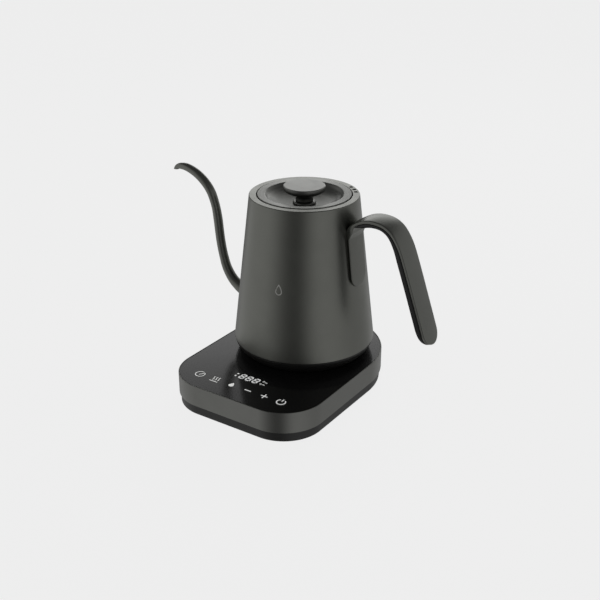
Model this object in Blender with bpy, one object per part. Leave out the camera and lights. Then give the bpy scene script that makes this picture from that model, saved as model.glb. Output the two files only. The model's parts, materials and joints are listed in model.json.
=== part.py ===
"""A gooseneck electric kettle on its swivel power base, as separate solids.

Units are metres and +Z is up. +X points to the handle, -X to the spout and -Y to
the control panel. The origin is on the table, under the middle of the whole object.
"""

import math

import bmesh
import bpy
from mathutils import Vector

# ------------------------------------------------------------- driving dimensions
GAP = 0.0003  # clearance between neighbouring pieces
DATUM = 0.0016  # the plane that heights are measured from lies this far over the table
MERGE = 0.000001

# Vessel, about its own upright axis
BODY_RADIUS = 0.0600  # at the lower edge
BODY_LEAN = 0.11615  # radius lost for each unit of height
BODY_BOTTOM = 0.0373
BODY_TOP = 0.1634
BODY_WALL = 0.0012
SHOULDER = 0.0009  # height over which the wall turns into the flat top ring
MOUTH_RADIUS = 0.0394
LEDGE_RADIUS = 0.0368
LEDGE_HEIGHT = 0.1520
VENT_RADIUS = 0.00175
VENT_CIRCLE = 0.0423
VENT_ANGLES = (39.0, 48.0, 57.0)

# Reach of the whole object from the vessel's axis
SPOUT_REACH = 0.1390
HANDLE_REACH = 0.1243
BASE_FRONT = 0.1117
BASE_REAR = 0.0688

# Base: half a circle about the vessel's axis, running forward to two round corners
BASE_HALF_WIDTH = 0.0674
BASE_CORNER = 0.0360
BASE_TOP = 0.0260
BAND_BOTTOM = 0.0076
BAND_WALL = 0.0024
PANEL_THICKNESS = 0.0020
DECK_THICKNESS = 0.0022
FOOT_RADIUS = 0.0062
FOOT_TOP = 0.0019
FOOT_PLACES = ((-0.042, 0.034), (0.042, 0.034), (-0.046, -0.094), (0.046, -0.094))
BASE_SCREW_PLACES = ((-0.030, 0.050), (0.030, 0.050), (-0.054, -0.066), (0.054, -0.066))
TRAY_BOTTOM = -0.0010
TRAY_FLOOR = 0.0032

# Controls
KEY_PITCH = 0.0162
KEY_ROW = -0.0930
KEY_COUNT = 6
DISPLAY_ROW = -0.0770
DISPLAY_SIZE = (0.032, 0.013)
BOARD_THICKNESS = 0.0016
CONTROL_BOARD_LEVEL = 0.0172
POWER_BOARD_LEVEL = 0.0086

# Power connector, in rings about the vessel's axis
SOCKET_RADIUS = 0.0212
SOCKET_TOP = 0.0338
SOCKET_FLANGE = 0.0290
SOCKET_SCREW_CIRCLE = 0.0266
GROOVE_INNER = 0.0092
GROOVE_OUTER = 0.0130
PIN_RADIUS = 0.0022
RING_INNER = 0.0102
RING_OUTER = 0.0120
BOTTOM_SCREW_CIRCLE = 0.0440
PLATE_LEVEL = 0.0435  # underside of the heating plate

# Handle strap, in the plane through the vessel's axis
HANDLE_HALF_WIDTH = 0.0110
LEG_SINK = 0.0036  # how far the strap's outer line runs inside the wall at the leg
# Depths under the strap's outer line, at lengths along it from the leg's foot
STRAP_DEPTHS = ((0.0, 0.0053), (0.0420, 0.0055), (0.0520, 0.0070), (0.0610, 0.0034))
GRIP_DEPTHS = (
    (0.0610, 0.0044), (0.0680, 0.0068), (0.0780, 0.0064), (0.0880, 0.0060),
    (0.1010, 0.0066), (0.1130, 0.0078), (0.1230, 0.0084), (0.1820, 0.0084),
    (0.1890, 0.0072), (0.1955, 0.0046),
)
LEG_BOW = ((0.0, 0.0005), (0.0420, 0.0005), (0.0540, 0.0))  # the leg hugs the wall
STRAP_CROWN = 0.0007  # fall of the strap's outer face from its middle to its edges
LEG_END = 0.0940
LEG_TOP = 0.1375

# Lid
LID_RADIUS = 0.0387
LID_TOP = 0.1639
LID_SHEET = 0.0012
KNOB_RADIUS = 0.0173
KNOB_TOP = 0.1706

# Fasteners and roundness
SCREW_HEAD = 0.0027
SCREW_HEAD_HEIGHT = 0.0015
SCREW_SHANK = 0.0014
SCREW_HOLE = 0.0017
WALL_STEPS = 48
TURN_STEPS = 28
POST_STEPS = 8
SMALL_STEPS = 8
TUBE_SIDES = 12


# ------------------------------------------------------------------ general tools
def clear_scene():
    for thing in list(bpy.data.objects):
        bpy.data.objects.remove(thing, do_unlink=True)


def finish(name, colour, roughness, metallic=0.0):
    material = bpy.data.materials.new(name)
    material.use_nodes = True
    shader = material.node_tree.nodes["Principled BSDF"]
    shader.inputs["Base Color"].default_value = (*colour, 1.0)
    shader.inputs["Roughness"].default_value = roughness
    shader.inputs["Metallic"].default_value = metallic
    material.diffuse_color = (*colour, 1.0)
    return material


def empty(name, location, parent=None):
    axis = bpy.data.objects.new(name, None)
    axis.location = location
    axis.parent = parent
    bpy.context.scene.collection.objects.link(axis)
    return axis


def place(name, shape, material, parent, location=(0, 0, 0)):
    """Turns a bmesh into a named, smooth-shaded object under its parent."""
    bmesh.ops.recalc_face_normals(shape, faces=shape.faces)
    mesh = bpy.data.meshes.new(name)
    shape.to_mesh(mesh)
    shape.free()
    mesh.shade_smooth()
    mesh.set_sharp_from_angle(angle=math.radians(35))
    mesh.materials.append(material)
    piece = bpy.data.objects.new(name, mesh)
    piece.location = location
    piece.parent = parent
    bpy.context.scene.collection.objects.link(piece)
    return piece


def turned(name, profile, material, parent, location=(0, 0, 0), steps=TURN_STEPS):
    """Turns a closed outline of (radius, height) points about the upright axis."""
    shape = bmesh.new()
    corners = [shape.verts.new((radius, 0, height)) for radius, height in profile]
    sides = []
    for first, second in zip(corners, corners[1:] + corners[:1]):
        if first.co.x > MERGE or second.co.x > MERGE:
            sides.append(shape.edges.new((first, second)))
    bmesh.ops.spin(
        shape,
        geom=corners + sides,
        cent=(0, 0, 0),
        axis=(0, 0, 1),
        angle=2 * math.pi,
        steps=steps,
        use_merge=True,
    )
    bmesh.ops.remove_doubles(shape, verts=shape.verts, dist=MERGE)
    return place(name, shape, material, parent, location)


def lofted(name, rings, material, parent, location=(0, 0, 0), loop=False):
    """Skins rings of equal length; the ends are capped, or joined when loop is set."""
    shape = bmesh.new()
    rows = [[shape.verts.new(point) for point in ring] for ring in rings]
    following = rows[1:] + rows[:1] if loop else rows[1:]
    for near, far in zip(rows, following):
        for i, start in enumerate(near):
            j = (i + 1) % len(near)
            shape.faces.new((start, near[j], far[j], far[i]))
    if not loop:
        shape.faces.new(rows[0])
        shape.faces.new(rows[-1])
    return place(name, shape, material, parent, location)


def block(name, size, material, parent, location, edge=0.0004):
    """A box moulded or cut with small bevelled edges, centred on its location."""
    shape = bmesh.new()
    bmesh.ops.create_cube(shape, size=1)
    bmesh.ops.scale(shape, vec=size, verts=shape.verts)
    bmesh.ops.bevel(shape, geom=shape.edges, offset=edge, segments=1, affect="EDGES")
    return place(name, shape, material, parent, location)


def rod(name, radius, low, high, material, parent, place_xy=(0, 0), steps=POST_STEPS):
    profile = ((0, low), (radius, low), (radius, high), (0, high))
    return turned(name, profile, material, parent, (*place_xy, 0), steps)


def combine(target, tool, operation="DIFFERENCE"):
    """Cuts the tool from the target, or joins it on; the tool itself is a guide."""
    modifier = target.modifiers.new(tool.name, "BOOLEAN")
    modifier.operation = operation
    modifier.object = tool
    tool.hide_render = True
    tool.display_type = "WIRE"


def screw(name, material, parent, place_xy, seat, reach):
    """A pan-head screw. The head's flat is at seat and the point is at reach."""
    crown = seat - math.copysign(SCREW_HEAD_HEIGHT, reach - seat)
    profile = (
        (0, crown),
        (SCREW_HEAD * 0.75, crown),
        (SCREW_HEAD, seat),
        (SCREW_SHANK, seat),
        (SCREW_SHANK, reach),
        (0, reach),
    )
    return turned(name, profile, material, parent, (*place_xy, 0), SMALL_STEPS)


def on_circle(radius, degrees):
    angle = math.radians(degrees)
    return (radius * math.cos(angle), radius * math.sin(angle))


def smooth_path(points, steps):
    """Points along a Catmull-Rom curve through the given points."""
    ends = [2 * points[0] - points[1]] + points + [2 * points[-1] - points[-2]]
    path = []
    for a, b, c, d in zip(ends, ends[1:], ends[2:], ends[3:]):
        for i in range(steps):
            t = i / steps
            bend = 2 * a - 5 * b + 4 * c - d
            twist = 3 * b - a - 3 * c + d
            path.append((2 * b + (c - a) * t + bend * t**2 + twist * t**3) / 2)
    path.append(points[-1])
    return path


def directions(path):
    """Unit tangents of a path, and the normals to their left in the XZ plane."""
    tangents = []
    for i in range(len(path)):
        step = path[min(i + 1, len(path) - 1)] - path[max(i - 1, 0)]
        tangents.append(step.normalized())
    normals = [Vector((-way.z, 0, way.x)) for way in tangents]
    return tangents, normals


def body_radius(height):
    return BODY_RADIUS - BODY_LEAN * (height - BODY_BOTTOM)


# --------------------------------------------------------------------------- base
def base_outline(inset, height):
    """The base's plan outline, drawn in all round by inset."""
    corner_x = BASE_HALF_WIDTH - BASE_CORNER
    corner_y = BASE_CORNER - BASE_FRONT
    arcs = (
        (0, 0, BASE_HALF_WIDTH, 0, 24),
        (-corner_x, corner_y, BASE_CORNER, 180, 7),
        (corner_x, corner_y, BASE_CORNER, 270, 7),
    )
    outline = []
    for x, y, radius, start, steps in arcs:
        sweep = 180 if start == 0 else 90
        for i in range(steps + 1):
            dx, dy = on_circle(radius - inset, start + sweep * i / steps)
            outline.append(Vector((x + dx, y + dy, height)))
    return outline


def base_rings(profile):
    return [base_outline(inset, height) for inset, height in profile]


def make_base_casing(parent, metal, glass, plastic, rubber, steel):
    ledge = BASE_TOP - PANEL_THICKNESS - GAP
    lip = 0.0007
    band_top = BASE_TOP - GAP
    band = lofted(
        "base_shell",
        base_rings(
            (
                (0, BAND_BOTTOM),
                (0, band_top - 0.0004),
                (0.0003, band_top),
                (lip, band_top),
                (lip, ledge),
                (BAND_WALL, ledge),
                (BAND_WALL, BAND_BOTTOM),
            )
        ),
        metal,
        parent,
        loop=True,
    )
    gland_hole = cord_gland_shape("gland_hole", 0.0049, 0.060, 0.075, plastic, parent)
    combine(band, gland_hole)

    panel_bottom = BASE_TOP - PANEL_THICKNESS
    panel = lofted(
        "touch_panel",
        base_rings(
            (
                (lip + GAP, panel_bottom),
                (lip + GAP, BASE_TOP - 0.0003),
                (lip + 2 * GAP, BASE_TOP),
            )
        ),
        glass,
        parent,
    )
    opening = rod(
        "socket_opening", SOCKET_RADIUS + GAP, 0.010, 0.030, plastic, parent,
        steps=TURN_STEPS,
    )
    combine(panel, opening)

    deck_bottom = ledge - DECK_THICKNESS
    deck = lofted(
        "base_deck",
        base_rings(((BAND_WALL + GAP, deck_bottom), (BAND_WALL + GAP, ledge))),
        plastic,
        parent,
    )
    combine(deck, opening)
    window = block(
        "display_window",
        (DISPLAY_SIZE[0] + 2 * GAP, DISPLAY_SIZE[1] + 2 * GAP, 0.010),
        plastic,
        parent,
        (0, DISPLAY_ROW, ledge),
    )
    combine(deck, window)
    for i in range(KEY_COUNT):
        hole = rod(
            f"key_hole_{i + 1}", 0.0032, deck_bottom - 0.002, ledge + 0.002,
            plastic, parent, (key_x(i), KEY_ROW), SMALL_STEPS,
        )
        combine(deck, hole)

    tray = lofted(
        "base_bottom_cover",
        base_rings(
            (
                (0.0024, TRAY_BOTTOM),
                (0.0016, TRAY_BOTTOM + 0.0004),
                (0.0014, TRAY_BOTTOM + 0.0014),
                (0.0014, BAND_BOTTOM - GAP),
                (BAND_WALL + GAP, BAND_BOTTOM - GAP),
                (BAND_WALL + GAP, 0.0095),
                (0.0042, 0.0095),
                (0.0042, TRAY_FLOOR),
            )
        ),
        plastic,
        parent,
    )
    below = TRAY_BOTTOM - 0.0020
    for i, spot in enumerate(FOOT_PLACES):
        pocket = rod(
            f"foot_pocket_{i + 1}", FOOT_RADIUS + GAP, below, FOOT_TOP + GAP,
            plastic, parent, spot, 16,
        )
        combine(tray, pocket)
        make_foot(f"foot_{i + 1}", rubber, parent, spot)
    tray_seat = 0.0052
    for i, spot in enumerate(BASE_SCREW_PLACES):
        post = rod(f"tray_post_{i + 1}", 0.0042, 0.0025, 0.0118, plastic, parent, spot)
        combine(tray, post, "UNION")
        well = rod(
            f"screw_well_{i + 1}", 0.0032, below, tray_seat, plastic, parent, spot
        )
        combine(tray, well)
        bore = rod(
            f"screw_bore_{i + 1}", SCREW_HOLE, below, 0.020, plastic, parent, spot,
            SMALL_STEPS,
        )
        combine(tray, bore)
        boss = rod(
            f"deck_boss_{i + 1}", 0.0035, 0.0121, deck_bottom + 0.001, plastic, parent,
            spot,
        )
        combine(deck, boss, "UNION")
        combine(deck, bore)
        screw(
            f"base_screw_{i + 1}", steel, parent, spot, tray_seat - GAP, 0.0190
        )
    return deck, deck_bottom, tray


def make_foot(name, rubber, parent, spot):
    edge = 0.0006
    profile = (
        (0, -DATUM),
        (FOOT_RADIUS - edge, -DATUM),
        (FOOT_RADIUS, edge - DATUM),
        (FOOT_RADIUS, FOOT_TOP),
        (0, FOOT_TOP),
    )
    turned(name, profile, rubber, parent, (*spot, 0), 16)


def key_x(index):
    return (index - (KEY_COUNT - 1) / 2) * KEY_PITCH


def cord_gland_shape(name, radius, near, far, material, parent):
    """A plain round bar along Y at the height of the cord inlet."""
    bar = rod(name, radius, near, far, material, parent, steps=16)
    bar.rotation_euler = (math.radians(-90), 0, 0)
    bar.location = (0, 0, 0.0156)
    return bar


def make_cord_gland(parent, rubber):
    """A grommet through the band's rear wall; its bore takes the supply cord."""
    wall_inside = BASE_HALF_WIDTH - BAND_WALL - GAP
    bore = 0.0032
    sleeve = 0.0045
    profile = (
        (bore, wall_inside - 0.0018),
        (0.0056, wall_inside - 0.0018),
        (0.0056, wall_inside - 0.0005),
        (sleeve, wall_inside - 0.0005),
        (sleeve, BASE_HALF_WIDTH + GAP),
        (0.0060, BASE_HALF_WIDTH + GAP),
        (0.0060, BASE_REAR - 0.0004),
        (0.0056, BASE_REAR),
        (bore, BASE_REAR),
    )
    gland = turned("cord_gland", profile, rubber, parent, (0, 0, 0.0156), 16)
    gland.rotation_euler = (math.radians(-90), 0, 0)


def make_socket(parent, deck, deck_bottom, plastic, brass, steel):
    """The round power socket: a boss with a centre bore and a ring groove."""
    edge = 0.0012
    bore = 0.0034
    floor = 0.0195
    foot = 0.0140
    flange_top = deck_bottom - GAP
    flange_bottom = flange_top - 0.0030
    core = 0.0155
    profile = (
        (bore, foot),
        (bore, SOCKET_TOP),
        (GROOVE_INNER, SOCKET_TOP),
        (GROOVE_INNER, floor),
        (GROOVE_OUTER, floor),
        (GROOVE_OUTER, SOCKET_TOP),
        (SOCKET_RADIUS - edge, SOCKET_TOP),
        (SOCKET_RADIUS, SOCKET_TOP - edge),
        (SOCKET_RADIUS, flange_top),
        (SOCKET_FLANGE, flange_top),
        (SOCKET_FLANGE, flange_bottom),
        (core, flange_bottom),
        (core, foot),
    )
    socket = turned("base_socket", profile, plastic, parent)
    for i in range(3):
        spot = on_circle(SOCKET_SCREW_CIRCLE, 30 + 120 * i)
        bore_tool = rod(
            f"socket_bore_{i + 1}", SCREW_HOLE, flange_bottom - 0.002,
            deck_bottom + 0.0017, plastic, parent, spot, SMALL_STEPS,
        )
        combine(socket, bore_tool)
        combine(deck, bore_tool)
        screw(
            f"socket_screw_{i + 1}", steel, parent, spot, flange_bottom - GAP,
            deck_bottom + 0.0013,
        )
    contacts = (
        ("contact_line", 0.0026, 0.0031, 0.0160, 0.0260),
        ("contact_neutral", 0.0095, 0.0099, 0.0198, 0.0270),
        ("contact_earth", 0.0123, 0.0127, 0.0198, 0.0290),
    )
    for name, inner, outer, low, high in contacts:
        ring = ((inner, low), (outer, low), (outer, high), (inner, high))
        turned(name, ring, brass, parent, steps=24)


def make_electronics(parent, deck, deck_bottom, tray, green, plastic, copper, steel):
    board_top = CONTROL_BOARD_LEVEL + BOARD_THICKNESS
    board_front = -0.1040
    board_rear = -0.0660
    control = block(
        "control_board",
        (0.088, board_rear - board_front, BOARD_THICKNESS),
        green,
        parent,
        (0, (board_rear + board_front) / 2, CONTROL_BOARD_LEVEL + BOARD_THICKNESS / 2),
        0.0003,
    )
    for i, x in enumerate((-0.040, 0.040)):
        spot = (x, -0.0700)
        post = rod(
            f"board_post_{i + 1}", 0.0028, board_top + GAP, deck_bottom + 0.0010,
            plastic, parent, spot, 12,
        )
        combine(deck, post, "UNION")
        bore = rod(
            f"board_bore_{i + 1}", SCREW_HOLE, 0.0150, deck_bottom + 0.0012,
            plastic, parent, spot, SMALL_STEPS,
        )
        combine(deck, bore)
        combine(control, bore)
        screw(
            f"control_board_screw_{i + 1}", steel, parent, spot,
            CONTROL_BOARD_LEVEL - GAP, deck_bottom + 0.0008,
        )
    display_bottom = board_top + GAP
    display_top = BASE_TOP - PANEL_THICKNESS - GAP
    block(
        "display_module",
        (*DISPLAY_SIZE, display_top - display_bottom),
        plastic,
        parent,
        (0, DISPLAY_ROW, (display_top + display_bottom) / 2),
    )
    for i in range(KEY_COUNT):
        make_touch_spring(
            f"touch_spring_{i + 1}", copper, parent, (key_x(i), KEY_ROW),
            display_bottom, display_top,
        )
    buzzer = (
        (0, 0.0112), (0.0056, 0.0112), (0.0060, 0.0118),
        (0.0060, CONTROL_BOARD_LEVEL - GAP), (0, CONTROL_BOARD_LEVEL - GAP),
    )
    turned("buzzer", buzzer, plastic, parent, (0.020, -0.080, 0), 20)

    power_rows = (0.0260, 0.0500)
    power_top = POWER_BOARD_LEVEL + BOARD_THICKNESS
    power = block(
        "power_board",
        (0.048, power_rows[1] - power_rows[0], BOARD_THICKNESS),
        green,
        parent,
        (0, sum(power_rows) / 2, POWER_BOARD_LEVEL + BOARD_THICKNESS / 2),
        0.0003,
    )
    for i, x in enumerate((-0.0210, 0.0210)):
        spot = (x, power_rows[1] - 0.0030)
        post = rod(
            f"power_post_{i + 1}", 0.0027, 0.0025, POWER_BOARD_LEVEL - GAP,
            plastic, parent, spot, 12,
        )
        combine(tray, post, "UNION")
        bore = rod(
            f"power_bore_{i + 1}", SCREW_HOLE, 0.0040, power_top + 0.003,
            plastic, parent, spot, SMALL_STEPS,
        )
        combine(tray, bore)
        combine(power, bore)
        screw(
            f"power_board_screw_{i + 1}", steel, parent, spot, power_top + GAP, 0.0046
        )
    block(
        "power_relay", (0.0160, 0.0120, 0.0100), plastic, parent,
        (-0.0130, 0.0370, power_top + GAP + 0.0050),
    )
    block(
        "power_supply", (0.0160, 0.0120, 0.0072), plastic, parent,
        (0.0120, 0.0370, power_top + GAP + 0.0036),
    )


def make_touch_spring(name, copper, parent, spot, low, high):
    """A sensing spring under one key, as the tube that its coils fill."""
    wall = 0.0005
    foot = 0.0026
    head = 0.0021
    profile = ((foot - wall, low), (foot, low), (head, high), (head - wall, high))
    turned(name, profile, copper, parent, (*spot, 0), SMALL_STEPS)


# ------------------------------------------------------------------------- vessel
def make_body_shell(parent, metal):
    """The single-wall vessel: cone, flat top ring, mouth and lid ledge."""
    foot_edge = 0.0008
    shoulder_foot = BODY_TOP - SHOULDER
    outer = body_radius(shoulder_foot)
    sheet = 0.0010
    profile = [
        (BODY_RADIUS - foot_edge, BODY_BOTTOM),
        (body_radius(BODY_BOTTOM + foot_edge), BODY_BOTTOM + foot_edge),
        (outer, shoulder_foot),
        (outer - 0.0001, BODY_TOP - 0.0003),
        (outer - 0.0005, BODY_TOP),
        (MOUTH_RADIUS, BODY_TOP),
        (MOUTH_RADIUS, LEDGE_HEIGHT),
        (LEDGE_RADIUS, LEDGE_HEIGHT),
        (LEDGE_RADIUS, LEDGE_HEIGHT - BODY_WALL),
        (MOUTH_RADIUS + sheet, LEDGE_HEIGHT - BODY_WALL),
        (MOUTH_RADIUS + sheet, BODY_TOP - BODY_WALL),
        (body_radius(BODY_TOP - BODY_WALL) - BODY_WALL, BODY_TOP - BODY_WALL),
        (BODY_RADIUS - BODY_WALL, BODY_BOTTOM),
    ]
    shell = turned("body_shell", profile, metal, parent, steps=WALL_STEPS)
    for i, angle in enumerate(VENT_ANGLES):
        vent = rod(
            f"vent_{i + 1}", VENT_RADIUS, BODY_TOP - 0.0060, BODY_TOP + 0.002,
            metal, parent, on_circle(VENT_CIRCLE, angle), 12,
        )
        combine(shell, vent)
    for i, (across, up) in enumerate(strainer_places()):
        hole = rod(f"strainer_{i + 1}", 0.0014, 0.050, 0.066, metal, parent, steps=8)
        hole.rotation_euler = (0, math.radians(-90), 0)
        hole.location = (0, across, 0.0592 + up)
        combine(shell, hole)


def strainer_places():
    """One hole in the middle and six round it, at the foot of the spout."""
    places = [(0.0, 0.0)]
    for i in range(6):
        places.append(on_circle(0.0040, 60 * i))
    return places


def wall_guide(name, clearance, material, parent):
    """A solid cone a little larger than the wall, which trims what meets the wall."""
    low = 0.020
    high = 0.180
    profile = (
        (0, low),
        (body_radius(low) + clearance, low),
        (body_radius(high) + clearance, high),
        (0, high),
    )
    return turned(name, profile, material, parent, steps=WALL_STEPS)


SPOUT_PATH = (
    (-0.0500, 0.0577), (-0.0590, 0.0595), (-0.0685, 0.0635), (-0.0768, 0.0698),
    (-0.0829, 0.0792), (-0.0863, 0.0901), (-0.0886, 0.1012), (-0.0900, 0.1122),
    (-0.0912, 0.1232), (-0.0931, 0.1339), (-0.0967, 0.1443), (-0.1008, 0.1507),
    (-0.1059, 0.1558), (-0.1123, 0.1602), (-0.1190, 0.1631), (-0.1245, 0.1645),
    (-0.1291, 0.1646), (-0.1325, 0.1640), (-0.1350, 0.1627), (-0.1364, 0.1609),
)
SPOUT_RADII = (
    0.0066, 0.0059, 0.0051, 0.0045, 0.0042, 0.0040, 0.0040, 0.0040, 0.0040, 0.0038,
    0.0039, 0.0039, 0.0039, 0.0038, 0.0036, 0.0034, 0.0030, 0.0026, 0.0023, 0.0022,
)
SPOUT_WALL = 0.0008
LIP_SLANT = 0.75  # the outlet is cut aslant, so that its upper lip reaches further


def make_spout(parent, metal, guide):
    """A hollow tapering tube along the gooseneck, open at both ends."""
    points = [Vector((x, r, z)) for (x, z), r in zip(SPOUT_PATH, SPOUT_RADII)]
    samples = smooth_path(points, 1)
    path = [Vector((sample.x, 0, sample.z)) for sample in samples]
    radii = [sample.y for sample in samples]
    tangents, normals = directions(path)
    slanted = 3
    outside = []
    inside = []
    for i, centre in enumerate(path):
        slant = LIP_SLANT * max(0, i - len(path) + 1 + slanted) / slanted
        for skin, ring in ((0, outside), (SPOUT_WALL, inside)):
            ring.append([])
            for side in range(TUBE_SIDES):
                across, along = on_circle(radii[i] - skin, 360 * side / TUBE_SIDES)
                point = centre + normals[i] * -across + Vector((0, along, 0))
                ring[-1].append(point + tangents[i] * slant * across)
    spout = lofted("spout", outside + inside[::-1], metal, parent, loop=True)
    combine(spout, guide)


# ------------------------------------------------------------------------- handle
HANDLE_PATH = (
    (0.0464, 0.1450), (0.0510, 0.1505), (0.0584, 0.1548), (0.0662, 0.1569),
    (0.0741, 0.1570), (0.0815, 0.1553), (0.0881, 0.1511), (0.0938, 0.1439),
    (0.0987, 0.1344), (0.1057, 0.1154), (0.1130, 0.0944), (0.1203, 0.0733),
    (HANDLE_REACH, 0.0616),
)


def handle_line():
    """The outer line of the strap, from the leg's foot over the arch to the grip's tip."""
    foot = Vector((body_radius(LEG_END) - LEG_SINK, 0, LEG_END))
    top = Vector((body_radius(LEG_TOP) - LEG_SINK, 0, LEG_TOP))
    arch = [Vector((x, 0, z)) for x, z in HANDLE_PATH]
    return [foot] + smooth_path([top] + arch, 2)


def strap_rings(path, first, skins, ends_round, crown):
    """Chamfered cross-sections between the two depths that skins gives at a length."""
    edge = 0.0007
    _, normals = directions(path)
    lengths = [0.0]
    for near, far in zip(path, path[1:]):
        lengths.append(lengths[-1] + (far - near).length)
    rings = []
    for i in range(first, len(path)):
        ends = [lengths[-1] - lengths[i]]
        if ends_round:
            ends.append(lengths[i])
        short = min(1.0, max(0.0, 1 - (min(ends) + 0.0002) / HANDLE_HALF_WIDTH))
        half = HANDLE_HALF_WIDTH * math.sqrt(1 - short**2)
        outer, inner = skins(lengths[i])
        bow = depth_at(lengths[i], LEG_BOW)
        bevel = min(edge, half / 2, (inner - outer) / 3)
        fall = crown * (half / HANDLE_HALF_WIDTH) ** 2
        section = [(half, inner - bow - bevel), (half, outer + fall + bevel)]
        for share in (1, 0.5, 0, -0.5, -1):
            section.append(((half - bevel) * share, outer + fall * share**2))
        section += [(-half, outer + fall + bevel), (-half, inner - bow - bevel)]
        for share in (-1, -0.5, 0, 0.5, 1):
            section.append(((half - bevel) * share, inner - bow * share**2))
        rings.append(
            [path[i] - normals[i] * depth + Vector((0, y, 0)) for y, depth in section]
        )
    return rings


def depth_at(length, table):
    """Linear reading of a table of (length along the strap, depth) pairs."""
    if length <= table[0][0]:
        return table[0][1]
    for (near, low), (far, high) in zip(table, table[1:]):
        if length <= far:
            return low + (high - low) * (length - near) / (far - near)
    return table[-1][1]


def strap_skins(length):
    return 0.0, depth_at(length, STRAP_DEPTHS)


def grip_skins(length):
    return STRAP_DEPTHS[-1][1] + GAP, depth_at(length, GRIP_DEPTHS)


def end_samples(path):
    """Adds closer samples at both ends, where the strap's outline is rounded."""
    first, second = path[0], path[1]
    last, before = path[-1], path[-2]
    head = [first.lerp(second, share) for share in (0.0, 0.02, 0.07, 0.15)]
    tail = [last.lerp(before, share) for share in (0.9, 0.5, 0.2, 0.06, 0.0)]
    return head + path[1:-1] + tail


def make_handle(parent, metal, dark, guide):
    path = end_samples(handle_line())
    strap = lofted(
        "handle_strap", strap_rings(path, 0, strap_skins, True, STRAP_CROWN), metal,
        parent,
    )
    combine(strap, guide)
    grip_start = 9
    lofted(
        "handle_grip", strap_rings(path, grip_start, grip_skins, False, 0), dark, parent
    )


# ------------------------------------------------------------------ kettle bottom
def make_kettle_bottom(parent, metal, plastic, steel, sensor):
    plate_top = PLATE_LEVEL + 0.0015
    rim = body_radius(plate_top) - BODY_WALL - 0.0006
    flange_bottom = 0.0410
    profile = (
        (0, PLATE_LEVEL),
        (rim - 0.0012, PLATE_LEVEL),
        (rim - 0.0012, flange_bottom),
        (rim, flange_bottom),
        (rim, plate_top - 0.0004),
        (rim - 0.0004, plate_top),
        (0, plate_top),
    )
    plate = turned("heating_plate", profile, metal, parent)
    probe_spot = (0, -0.0175)
    probe_hole = rod("probe_hole", 0.0024, 0.040, 0.050, metal, parent, probe_spot)
    combine(plate, probe_hole)
    cover_floor = (0.0286, 0.0306)
    for i in range(3):
        spot = on_circle(BOTTOM_SCREW_CIRCLE, 30 + 120 * i)
        stud = rod(
            f"plate_stud_{i + 1}", 0.0030, cover_floor[1] + GAP, PLATE_LEVEL + 0.0007,
            metal, parent, spot, 12,
        )
        combine(plate, stud, "UNION")

    foot = 0.0264
    skirt = 0.0244
    collar = 0.0363
    wall_foot = BODY_BOTTOM - GAP
    lip = body_radius(0.0404) - BODY_WALL - GAP
    profile = (
        (skirt, cover_floor[0]),
        (0.0475, cover_floor[0]),
        (0.0475, foot),
        (0.0520, foot),
        (0.0574, 0.0312),
        (0.0592, 0.0355),
        (0.0592, wall_foot),
        (lip, wall_foot),
        (lip, 0.0404),
        (lip - 0.0014, 0.0404),
        (lip - 0.0022, 0.0330),
        (0.0510, cover_floor[1]),
        (skirt + 0.0026, cover_floor[1]),
        (skirt + 0.0026, collar),
        (skirt, collar),
    )
    cover = turned("kettle_bottom_cover", profile, plastic, parent, steps=WALL_STEPS)
    for i in range(3):
        spot = on_circle(BOTTOM_SCREW_CIRCLE, 30 + 120 * i)
        bore = rod(
            f"bottom_bore_{i + 1}", SCREW_HOLE, 0.020, 0.0415, plastic, parent, spot,
            SMALL_STEPS,
        )
        combine(cover, bore)
        combine(plate, bore)
        screw(
            f"bottom_screw_{i + 1}", steel, parent, spot, cover_floor[0] - GAP, 0.0405
        )

    make_heating_element(parent, metal)
    thermostat = (
        (0, 0.0399), (0.0062, 0.0399), (0.0066, 0.0404),
        (0.0066, PLATE_LEVEL - GAP), (0, PLATE_LEVEL - GAP),
    )
    turned("thermostat", thermostat, steel, parent, (0, 0.0175, 0), 20)
    probe = (
        (0, 0.0399), (0.0040, 0.0399), (0.0040, PLATE_LEVEL - GAP),
        (0.0020, PLATE_LEVEL - GAP), (0.0020, 0.0465), (0.0012, 0.0474), (0, 0.0474),
    )
    turned("temperature_probe", probe, sensor, parent, (*probe_spot, 0), 16)


def make_heating_element(parent, metal):
    """A sheathed heating rod bent to an open ring against the plate's underside."""
    radius = 0.0340
    rod_radius = 0.0030
    sweep = 310
    count = 22
    curve = bpy.data.curves.new("heating_element", "CURVE")
    curve.dimensions = "3D"
    curve.bevel_depth = rod_radius
    curve.bevel_resolution = 1
    curve.use_fill_caps = True
    curve.render_resolution_u = 0
    line = curve.splines.new("POLY")
    line.points.add(count - 1)
    for i, point in enumerate(line.points):
        x, y = on_circle(radius, 25 + sweep * i / (count - 1))
        point.co = (x, y, PLATE_LEVEL - GAP - rod_radius, 1)
    curve.materials.append(metal)
    element = bpy.data.objects.new("heating_element", curve)
    element.parent = parent
    bpy.context.scene.collection.objects.link(element)


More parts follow.
